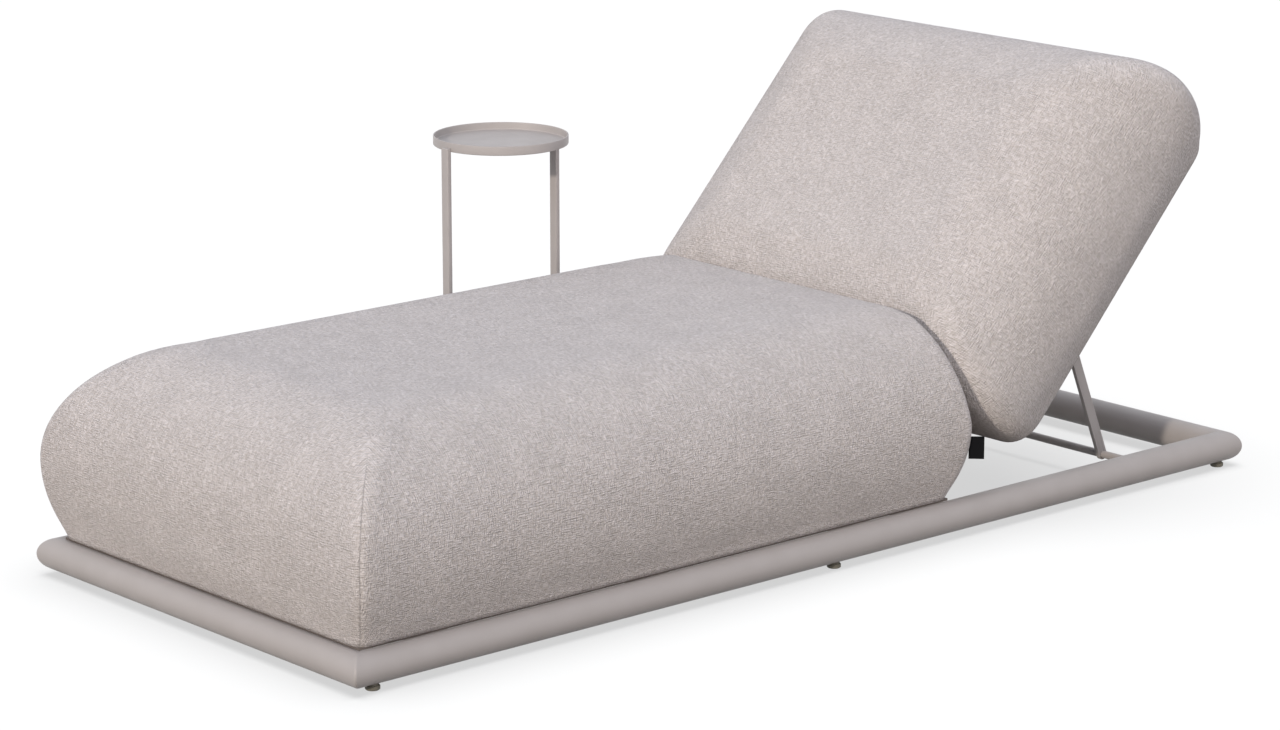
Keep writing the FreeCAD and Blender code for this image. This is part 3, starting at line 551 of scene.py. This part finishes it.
def sewn_mesh(name, cover):
    """A mesh from a cover: like points are merged, with the least of their seam gaps and the most of
    their seam strengths. The fold round the base is creased, so that subdivision keeps it crisp."""
    points, quads, uvs, gap, strength = cover
    kept, same = np.unique(np.round(points, 6), axis=0, return_inverse=True)
    same = same.reshape(-1)
    least = np.full(len(kept), 1.0)
    np.minimum.at(least, same, gap)
    most = np.zeros(len(kept))
    np.maximum.at(most, same, strength)
    mesh = bpy.data.meshes.new(name)
    mesh.from_pydata(kept.tolist(), [], same[quads].tolist())
    layer = mesh.uv_layers.new(name="cloth")
    layer.data.foreach_set("uv", uvs.astype(np.float32).ravel())
    for title, values in (("seam_gap", least), ("seam_fade", most)):
        mesh.attributes.new(title, "FLOAT", "POINT").data.foreach_set("value", values.astype(np.float32))
    mesh.polygons.foreach_set("use_smooth", np.ones(len(quads), bool))
    low = kept[:, 2] < kept[:, 2].min() + 0.01 * MM
    touched = np.zeros(len(kept), bool)
    touched[same[quads[low[same[quads]].sum(1) == 2]].ravel()] = True
    ends = read(mesh.edges, "vertices", 2).astype(int)
    crease = (low & touched)[ends].all(1)
    mesh.attributes.new("crease_edge", "FLOAT", "EDGE").data.foreach_set("value", crease.astype(np.float32))
    piece = bpy.data.objects.new(name, mesh)
    bpy.context.scene.collection.objects.link(piece)
    return piece


def baked(piece):
    """Replaces the piece's mesh by what its modifiers make of it."""
    graph = bpy.context.evaluated_depsgraph_get()
    shown = piece.evaluated_get(graph)
    made = bpy.data.meshes.new_from_object(shown, preserve_all_data_layers=True, depsgraph=graph)
    piece.modifiers.clear()
    piece.data = made
    return piece


def swollen(piece):
    """Cloth simulation of a filled cover. It starts START_IN smaller than its form, its base is held,
    and air pressure blows it up against the cloth's own stretch for SWELL_FRAMES frames. The cover
    is tight over firm foam, so the result is eased to within SWELL_MOST of the form."""
    mesh = piece.data
    form = read(mesh.vertices, "co", 3)
    normals = read(mesh.vertices, "normal", 3)
    held = form[:, 2] < 0.5 * MM
    start = form - normals * np.where(held, 0, START_IN)[:, None]
    mesh.vertices.foreach_set("co", start.astype(np.float32).ravel())
    mesh.update()
    group = piece.vertex_groups.new(name="held")
    group.add(np.flatnonzero(held).tolist(), 1.0, "REPLACE")
    cloth = piece.modifiers.new("swell", "CLOTH")
    cloth.settings.quality = 6
    cloth.settings.mass = 0.3
    cloth.settings.tension_stiffness = cloth.settings.compression_stiffness = 40
    cloth.settings.shear_stiffness = 15
    cloth.settings.bending_stiffness = 2
    cloth.settings.vertex_group_mass = "held"
    cloth.settings.use_pressure = True
    cloth.settings.uniform_pressure_force = 4
    cloth.settings.effector_weights.gravity = 0
    cloth.collision_settings.use_collision = False
    cloth.point_cache.frame_start = 1
    cloth.point_cache.frame_end = SWELL_FRAMES
    for moment in range(1, SWELL_FRAMES + 1):
        bpy.context.scene.frame_set(moment)
    blown = piece.evaluated_get(bpy.context.evaluated_depsgraph_get())
    moved = read(blown.data.vertices, "co", 3) - form
    piece.modifiers.clear()
    piece.vertex_groups.clear()
    bpy.context.scene.frame_set(1)
    far = np.linalg.norm(moved, axis=1, keepdims=True)
    eased = form + moved * (SWELL_MOST * np.tanh(far / SWELL_MOST) / np.maximum(far, 1e-9))
    mesh.vertices.foreach_set("co", np.where(held[:, None], form, eased).astype(np.float32).ravel())
    mesh.update()
    return piece


def smoothed(piece, seam_deep):
    """One subdivision, applied; then the cloth is drawn in along the seams by a bell curve, and the
    seam gap that places their painted shade is widened where the seams fade out. With no depth the
    seams and their painted shade are left out of the cover."""
    rounding = piece.modifiers.new("rounding", "SUBSURF")
    rounding.levels = rounding.render_levels = 1
    baked(piece)
    mesh = piece.data
    points = read(mesh.vertices, "co", 3)
    normals = read(mesh.vertices, "normal", 3)
    gap = read(mesh.attributes["seam_gap"].data, "value", 1)
    fade = read(mesh.attributes["seam_fade"].data, "value", 1)
    pulled = seam_deep * np.exp(-(gap / SEAM_HALF) ** 2) * fade
    shown = fade if seam_deep else 0 * fade
    hidden = gap + (1 - shown) ** 2 * SEAM_HALF
    hidden = np.where(shown > 0, hidden, SEAM_AWAY)
    mesh.attributes["seam_gap"].data.foreach_set("value", hidden.astype(np.float32).ravel())
    mesh.vertices.foreach_set("co", (points - normals * pulled).astype(np.float32).ravel())
    mesh.update()
    return piece


def tilted(points, degrees):
    """Points turned about the X axis through the origin: a plane rotation of their Y and Z."""
    turn = math.radians(degrees)
    x, y, z = points.T
    tilted_y = y * math.cos(turn) - z * math.sin(turn)
    tilted_z = y * math.sin(turn) + z * math.cos(turn)
    return np.stack([x, tilted_y, tilted_z], 1)


def set_down(piece, origin, degrees=0.0):
    """Tilts a piece's mesh and moves it to its place, with the object left at the origin."""
    mesh = piece.data
    placed = tilted(read(mesh.vertices, "co", 3), degrees) + np.asarray(origin)
    mesh.vertices.foreach_set("co", placed.astype(np.float32).ravel())
    mesh.update()
    return piece


seat_low, seat_high = (np.array(corner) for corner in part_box("seat_cushion"))
half_seat = (seat_high - seat_low)[:2] / 2
seat_base = np.append((seat_low + seat_high)[:2] / 2, seat_low[2])
fabric = woven_fabric("woven_acrylic_heather")
seat_form = cushion_cover(half_seat[0], half_seat[1], SEAT_CORNER, REAR_LEAN, REAR_TURN, REAR_CORNER)
seat_cover = sewn_mesh("seat_cover", seat_form)
swollen(seat_cover)
smoothed(seat_cover, SEAM_DEEP)
seat_cover.data.materials.append(fabric)
set_down(seat_cover, seat_base)
put(seat_cover, "frame", "fabric", "seat_cushion")

# Seam tab: a short piece of plain black woven tape, folded once and caught in the rear near corner
# seam of the seat, where it stands out on the diagonal.
TAPE_HEX = "#0f0f11"
TAPE_THICK = 0.5 * MM
FOLD_RADIUS = 1.0 * MM
TAPE_CAUGHT = 7 * MM
TAPE_CURL = 1.0 * MM
TAPE_LEAN = 0.6 * MM
RIB_MM = 2.2
FLUFF_MM = 2.0


def woven_tape(name):
    """Polyester tape, woven with fine ribs across it: near black and dull. The ribs are drawn at
    about twice their real size so that they show. At scale 1 the wave has 20 / (2 pi) bands a metre."""
    bands, fluff_light = 20 / (2 * math.pi), 1.5
    material, tree = finish_named(name)
    place = add(tree, "ShaderNodeTexCoord", {}).outputs["Object"]
    rib = add(tree, "ShaderNodeTexWave", {
        "bands_direction": "Z", "Vector": place, "Scale": 1 / (RIB_MM * MM * bands), "Distortion": 0.6})
    fluff = add(tree, "ShaderNodeTexNoise", {"Vector": place, "Scale": 1 / (FLUFF_MM * MM), "Detail": 2.0})
    lighter = [channel * fluff_light for channel in linear(TAPE_HEX)[:3]] + [1.0]
    tint = add(tree, "ShaderNodeMix", {
        "data_type": "RGBA", 0: fluff.outputs["Fac"], 6: linear(TAPE_HEX), 7: lighter})
    bump = add(tree, "ShaderNodeBump", {
        "Height": rib.outputs["Fac"], "Strength": 0.4, "Distance": 0.2 * MM})
    shader = add(tree, "ShaderNodeBsdfPrincipled", {
        "Base Color": tint.outputs[2], "Roughness": 0.8, "Normal": bump.outputs[0],
        "Specular IOR Level": 0.08})
    add(tree, "ShaderNodeOutputMaterial", {"Surface": shader.outputs[0]})
    return material


def folded_tab(low, high):
    """The tape's middle line goes out along one layer, round the fold in a half circle and back along
    the other; the layers part as the square of the run. Its two faces lie half a thickness either side
    of that line, and the loop they make is carried up the tab's height with a slight sideways curl."""
    reach = (high - low)[:2].max() * math.sqrt(2) + TAPE_CAUGHT - FOLD_RADIUS - TAPE_THICK
    out = np.linspace(0, 1, 14)
    fold = np.radians(np.linspace(-90, 90, 11))[1:-1]
    caught_gap = TAPE_THICK * 0.6
    part = caught_gap + (FOLD_RADIUS - caught_gap) * out ** 2
    along = np.concatenate([out * reach, reach + FOLD_RADIUS * np.cos(fold), out[::-1] * reach])
    side = np.concatenate([-part, FOLD_RADIUS * np.sin(fold), part[::-1]])
    step = np.stack([np.gradient(along), np.gradient(side)])
    step /= np.linalg.norm(step, axis=0)
    half = TAPE_THICK / 2
    run = np.concatenate([along + half * step[1], (along - half * step[1])[::-1]])
    across = np.concatenate([side - half * step[0], (side + half * step[0])[::-1]])
    share = np.clip(run / reach, 0, 1)
    height = np.linspace(low[2], high[2], 16)
    curl = TAPE_CURL * np.sin(np.linspace(0, np.pi, 16))
    sideways = across - (TAPE_LEAN + curl[:, None]) * share ** 2
    diagonal = math.sqrt(0.5)
    x = low[0] + diagonal * (run - TAPE_CAUGHT + sideways)
    y = low[1] + diagonal * (run - TAPE_CAUGHT - sideways)
    return np.stack([x, y, np.repeat(height[:, None], len(run), 1)], -1)


tab_low, tab_high = (np.array(corner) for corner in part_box("seam_tab"))
tape = woven_tape("ribbed_tape_black")
loop = folded_tab(tab_low, tab_high)
count = loop.shape[1]
ends = quads_of(2, count // 2)
ends[:, 2:] = count - 1 - ends[:, 1::-1]
walls = quads_of(*loop.shape[:2], False, True)
strip = np.concatenate([walls, ends[:, ::-1], ends + count * (len(loop) - 1)])
folded = solid("folded_tab", loop, strip, tape, 60)
put(folded, "frame", "tab", "seam_tab")

# Backrest hinge: flat plates welded to the rear cross bar, arms that stand on the backrest's board
# beside them, and a headed stainless pin through each pair.
STEEL_HEX = "#a9a6a1"
MARK_MM = 0.8
PLATE_EDGE = 0.8 * MM
PIN_EDGE = 0.6 * MM


def stainless(name):
    """Turned stainless steel: a bright metal with fine tool marks that break up the highlight."""
    material, tree = finish_named(name)
    place = add(tree, "ShaderNodeTexCoord", {}).outputs["Object"]
    marks = add(tree, "ShaderNodeTexNoise", {"Vector": place, "Scale": 1 / (MARK_MM * MM), "Detail": 2.0})
    rough = add(tree, "ShaderNodeMapRange", {0: marks.outputs["Fac"], 1: 0.3, 2: 0.7, 3: 0.24, 4: 0.38})
    bump = add(tree, "ShaderNodeBump", {
        "Height": marks.outputs["Fac"], "Strength": 0.1, "Distance": 0.05 * MM})
    shader = add(tree, "ShaderNodeBsdfPrincipled", {
        "Base Color": linear(STEEL_HEX), "Metallic": 1.0, "Roughness": rough.outputs[0],
        "Normal": bump.outputs[0]})
    add(tree, "ShaderNodeOutputMaterial", {"Surface": shader.outputs[0]})
    return material


steel = stainless("stainless_steel_turned")
for side in ("near", "far"):
    keep_node(f"hinge_upright_{side}", coat, PLATE_EDGE)
    keep_node(f"hinge_arm_{side}", coat, PLATE_EDGE)
    keep_node(f"hinge_pin_{side}", steel, PIN_EDGE)

# Backrest board: a flat aluminium sheet, coated like the frame, that the cushion is glued to.
# The hinge arms and the stay's lugs are fixed to it.
keep_node("back_board", coat, PLATE_EDGE)

# Backrest cushion: the seat's foam section again, shorter, with rounder corners and the same cover
# without darts. Two slots with a dark lining in its lower end let the hinge plates in.
BACK_CORNER = 52 * MM
SLOT_ROOM = 6 * MM
SLOT_BELOW = 5 * MM
SLOT_REACH = 68 * MM
SLOT_TOP = 20 * MM
LINING_HEX = "#3a3735"

hinge = next(joint for joint in frame["joints"] if joint["name"] == "backrest_recline")
hinge_place = np.array(hinge["pos_m"], float)
recline = -min(hinge["range_deg"])


def upright_box(name):
    """A backrest node's box with the recline turned back, measured from the hinge axis."""
    level = tilted(read(nodes[name].data.vertices, "co", 3) - hinge_place, -recline)
    return level.min(0), level.max(0)


def slot_cutter(low, high, material):
    """A closed block between two corners, in the backrest's own frame."""
    corner = np.array([[i, j, k] for k in (0, 1) for j in (0, 1) for i in (0, 1)])
    faces = np.array([
        [0, 2, 3, 1], [4, 5, 7, 6], [0, 1, 5, 4], [2, 6, 7, 3], [0, 4, 6, 2], [1, 3, 7, 5]])
    return solid("slot_cutter", low + corner * (high - low), faces, material)


lining = moulded("slot_lining", LINING_HEX, 0.8, 0.9)
back_low, back_high = upright_box("back_cushion")
half_back = (back_high - back_low)[:2] / 2
back_middle = (back_low + back_high)[:2] / 2
back_cover = sewn_mesh("back_cover", cushion_cover(half_back[0], half_back[1], BACK_CORNER))
swollen(back_cover)
smoothed(back_cover, 0)
back_cover.data.materials.append(fabric)
set_down(back_cover, (back_middle[0], back_middle[1], back_low[2]))
for side in ("near", "far"):
    plates = [upright_box(f"hinge_arm_{side}"), upright_box(f"hinge_upright_{side}")]
    low_x = min(plate[0][0] for plate in plates) - SLOT_ROOM
    high_x = max(plate[1][0] for plate in plates) + SLOT_ROOM
    low = np.array([low_x, 2 * back_low[1], back_low[2] - SLOT_BELOW])
    high = np.array([high_x, SLOT_REACH, SLOT_TOP])
    cutter = slot_cutter(low, high, lining)
    notch = back_cover.modifiers.new("notch", "BOOLEAN")
    notch.object = cutter
    notch.solver = "EXACT"
    notch.material_mode = "TRANSFER"
    baked(back_cover)
    bpy.data.objects.remove(cutter)
set_down(back_cover, hinge_place, recline)
put(back_cover, "backrest", "fabric", "back_cushion")

# Prop stay: lugs on the backrest board, pinned flat struts and a round bar across their feet that
# sits on ledges welded inside the side rails. Moulded rubber caps close the bar's ends.
CAP_HEX = "#7d756f"
STRUT_EDGE = 1.0 * MM
CAP_EDGE = 0.5 * MM
rubber = moulded("moulded_rubber_grey", CAP_HEX, 0.6, 0.5)
keep_node("foot_bar", coat)
for side in ("near", "far"):
    keep_node(f"stay_lug_{side}", coat, PLATE_EDGE)
    keep_node(f"stay_pin_{side}", steel, PIN_EDGE)
    keep_node(f"stay_strut_{side}", coat, STRUT_EDGE)
    keep_node(f"foot_bar_cap_{side}", rubber, CAP_EDGE)
    keep_node(f"stay_rest_{side}", coat, STRUT_EDGE)

# Side tray: a spun metal dish with an upright rim, welded between two flat posts that stand
# outside the far rail. It is coated with the frame.
LIP = 1.25 * MM
TRAY_FLOOR = 3 * MM
FLOOR_FILLET = 3 * MM
FOOT_FILLET = 2 * MM


def arc(x, y, radius, start, end, count=7):
    """Points on a circle between two angles in degrees."""
    angle = np.radians(np.linspace(start, end, count))
    return np.stack([x + radius * np.cos(angle), y + radius * np.sin(angle)], 1)


tray_low, tray_high = (np.array(corner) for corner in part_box("side_tray"))
tray_middle = (tray_low + tray_high) / 2
tray_radius = (tray_high - tray_low)[0] / 2
inside = tray_radius - 2 * LIP
dish_floor = tray_low[2] + TRAY_FLOOR
dish = np.concatenate([
    [(0, tray_low[2])],
    arc(tray_radius - FOOT_FILLET, tray_low[2] + FOOT_FILLET, FOOT_FILLET, -90, 0),
    arc(tray_radius - LIP, tray_high[2] - LIP, LIP, 0, 180, 9),
    arc(inside - FLOOR_FILLET, dish_floor + FLOOR_FILLET, FLOOR_FILLET, 0, -90),
    [(0, dish_floor)]])
tray_dish = turned("tray_dish", dish, tray_middle, coat, 128, 60)
put(tray_dish, "frame", "frame_paint", "side_tray")

# Tray posts: flat steel bars with softened edges, welded to the rim a little below its lip. A saddle
# at the foot of each one fits the far rail's round side.
POST_EDGE = 1.3 * MM


def rounded_bar(low, high, edge, turn=4):
    """A rounded rectangle carried up between two corners; the last rings shrink to round the ends."""
    middle, half = (low + high) / 2, (high - low) / 2
    sweep = np.linspace(0, np.pi / 2, turn)
    signs = ((1, 1), (-1, 1), (-1, -1), (1, -1))
    centre = np.repeat([(sx * (half[0] - edge), sy * (half[1] - edge)) for sx, sy in signs], turn, 0)
    bend = np.concatenate([sweep + quarter * np.pi / 2 for quarter in range(4)])
    spread = edge * np.stack([np.cos(bend), np.sin(bend)], 1)
    shrink = np.concatenate([np.sin(sweep), np.sin(sweep)[::-1]])
    drop = edge * (1 - np.cos(sweep))
    rise = np.concatenate([drop - half[2], half[2] - drop[::-1]])
    rings = centre[None] + spread[None] * shrink[:, None, None]
    tall = np.broadcast_to(rise[:, None, None], (*rings.shape[:2], 1))
    return np.concatenate([rings, tall], -1) + middle


for place in ("head", "foot"):
    low, high = (np.array(corner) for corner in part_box(f"tray_post_{place}"))
    bar = rounded_bar(low, high, POST_EDGE)
    count = bar.shape[1]
    lids = (np.arange(count)[::-1], np.arange(count) + count * (bar.shape[0] - 1))
    post = solid(f"tray_upright_{place}", bar, quads_of(*bar.shape[:2], False, True), coat, 50, lids)
    put(post, "frame", "frame_paint", f"tray_post_{place}")
    keep_node(f"tray_saddle_{place}", coat, PLATE_EDGE)

# Tray screws: stainless button heads with a hexagon socket, turned and polished. Two go through
# each post into its saddle.
HEAD_RADIUS = 5.5 * MM
HEAD_HIGH = 3.5 * MM
SOCKET_RADIUS = 2.3 * MM
SHANK_RADIUS = 3 * MM


def button_screw(start, long, around=48):
    """Rings along X from the socket's floor out to the domed head and back down the shank; the
    socket's rings are hexagons, whose radius is the flat's distance over the cosine to the flat."""
    angle = np.linspace(0, 2 * np.pi, around, endpoint=False)
    hexagon = 1 / np.cos((angle + np.pi / 6) % (np.pi / 3) - np.pi / 6)
    deep = 0.6 * HEAD_HIGH
    dome = np.linspace(0, np.pi / 2, 8)
    crown = SOCKET_RADIUS * 1.25
    rings = [(0 * hexagon, deep), (SOCKET_RADIUS * hexagon, deep), (SOCKET_RADIUS * hexagon, 0)]
    dome_high = 0.7 * HEAD_HIGH
    rings += [(crown + (HEAD_RADIUS - crown) * math.sin(t) + 0 * angle, dome_high * (1 - math.cos(t)))
              for t in dome]
    rings += [(HEAD_RADIUS + 0 * angle, HEAD_HIGH), (SHANK_RADIUS + 0 * angle, HEAD_HIGH)]
    rings += [(SHANK_RADIUS + 0 * angle, long), (0 * angle, long)]
    radius = np.array([ring[0] for ring in rings])
    along = np.array([ring[1] for ring in rings])[:, None] + 0 * angle
    return np.stack([along, radius * np.cos(angle), radius * np.sin(angle)], -1) + start


for place in ("head", "foot"):
    low, high = (np.array(corner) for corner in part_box(f"tray_screws_{place}"))
    middle_y = (low[1] + high[1]) / 2
    long = high[0] - low[0]
    screws = [
        button_screw(np.array([low[0], middle_y, z]), long)
        for z in (low[2] + HEAD_RADIUS, high[2] - HEAD_RADIUS)]
    faces = quads_of(*screws[0].shape[:2], False, True)
    points = np.concatenate([screw.reshape(-1, 3) for screw in screws])
    faces = np.concatenate([faces, faces + screws[0].shape[0] * screws[0].shape[1]])
    put(solid(f"button_screws_{place}", points, faces, steel, 35), "frame", "pin", f"tray_screws_{place}")

# Stage: a floor that looks white to the camera and keeps a soft shadow, under a sky that is brighter
# overhead. A warm key lamp from the foot end and a broad weak fill from the near side light the
# lounger alone, and a soft overhead lamp lights the floor alone.
FLOOR_HALF = 30.0
FLOOR_SEEN = 0.05
FLOOR_GLOW = 0.63
BOUNCE_HEX = "#302d2b"
SKY_LOW = 0.71
SKY_HIGH = 1.09
SKY_HEX = "#e9effc"
scene = bpy.context.scene
floor_mesh = bpy.data.meshes.new("floor")
floor_signs = ((-1, -1), (1, -1), (1, 1), (-1, 1))
floor_corners = [(sx * FLOOR_HALF, sy * FLOOR_HALF, 0) for sx, sy in floor_signs]
floor_mesh.from_pydata(floor_corners, [], [(0, 1, 2, 3)])
floor = bpy.data.objects.new("floor", floor_mesh)
scene.collection.objects.link(floor)


def seen_directly(tree):
    """1 where a camera, mirror or glass ray looks at the surface, 0 where light bounces off it."""
    path = add(tree, "ShaderNodeLightPath", {}).outputs
    shiny = add(tree, "ShaderNodeMath", {
        "operation": "MAXIMUM", 0: path["Is Glossy Ray"], 1: path["Is Transmission Ray"]}).outputs[0]
    return add(tree, "ShaderNodeMath", {
        "operation": "MAXIMUM", 0: path["Is Camera Ray"], 1: shiny}).outputs[0]


studio_floor, tree = finish_named("studio_floor")
bounce = add(tree, "ShaderNodeBsdfDiffuse", {"Color": linear(BOUNCE_HEX)})
paper = add(tree, "ShaderNodeBsdfDiffuse", {"Color": (FLOOR_SEEN, FLOOR_SEEN, FLOOR_SEEN, 1)})
glow = add(tree, "ShaderNodeEmission", {"Strength": FLOOR_GLOW})
white = add(tree, "ShaderNodeAddShader", {0: paper.outputs[0], 1: glow.outputs[0]})
both = add(tree, "ShaderNodeMixShader", {0: seen_directly(tree), 1: bounce.outputs[0], 2: white.outputs[0]})
add(tree, "ShaderNodeOutputMaterial", {"Surface": both.outputs[0]})
floor_mesh.materials.append(studio_floor)

world = bpy.data.worlds.new("studio")
world.use_nodes = True
world.node_tree.nodes.clear()
tree = world.node_tree
looking = add(tree, "ShaderNodeTexCoord", {}).outputs["Generated"]
upward = add(tree, "ShaderNodeSeparateXYZ", {0: looking}).outputs[2]
dome = add(tree, "ShaderNodeMapRange", {0: upward, 1: 0.0, 2: 1.0, 3: SKY_LOW, 4: SKY_HIGH}).outputs[0]
sky = add(tree, "ShaderNodeBackground", {"Color": linear(SKY_HEX), "Strength": dome})
backdrop = add(tree, "ShaderNodeBackground", {"Strength": 1.0, "Color": (1, 1, 1, 1)})
split = add(tree, "ShaderNodeMixShader", {
    0: seen_directly(tree), 1: sky.outputs[0], 2: backdrop.outputs[0]})
add(tree, "ShaderNodeOutputWorld", {"Surface": split.outputs[0]})
scene.world = world


def lamp(name, level, turn, high, spread, colour):
    """A distant lamp: level is what it adds to a white surface that faces it, turn is its side from
    the foot end towards the near side, high its height and spread its width, all in degrees."""
    data = bpy.data.lights.new(name, "SUN")
    data.energy = level * math.pi
    data.angle = math.radians(spread)
    data.color = linear(colour)[:3]
    light = bpy.data.objects.new(name, data)
    light.rotation_euler = (math.radians(90 - high), 0, math.radians(turn))
    scene.collection.objects.link(light)
    return light


def only_for(light, target, state):
    """Lets a lamp reach all but the target, or the target alone."""
    group = bpy.data.collections.new(light.name + "_reach")
    group.objects.link(target)
    group.collection_objects[0].light_linking.link_state = state
    light.light_linking.receiver_collection = group


key = lamp("key", level=0.54, turn=15.5, high=18, spread=2, colour="#fff4e6")
fill = lamp("fill", level=0.27, turn=75, high=14, spread=60, colour="#fff2e4")
overhead = lamp("overhead", level=7.0, turn=0, high=90, spread=60, colour="#ffffff")
only_for(key, floor, "EXCLUDE")
only_for(fill, floor, "EXCLUDE")
only_for(overhead, floor, "INCLUDE")

# Camera at the photograph's angle: its place in metres, its angles in degrees and its lens in
# millimetres for a picture 36 mm wide.
CAMERA_PLACE = (5.1409, -4.5264, 1.9567)
CAMERA_DOWN = 13.874
CAMERA_TURN = 48.702
CAMERA_LENS = 112.58
PICTURE_WIDE = 36
camera_data = bpy.data.cameras.new("camera")
camera_data.lens = CAMERA_LENS
camera_data.sensor_width = PICTURE_WIDE
camera = bpy.data.objects.new("camera", camera_data)
camera.location = CAMERA_PLACE
camera.rotation_euler = (math.radians(90 - CAMERA_DOWN), 0, math.radians(CAMERA_TURN))
scene.collection.objects.link(camera)
scene.camera = camera
scene.view_settings.view_transform = "Standard"
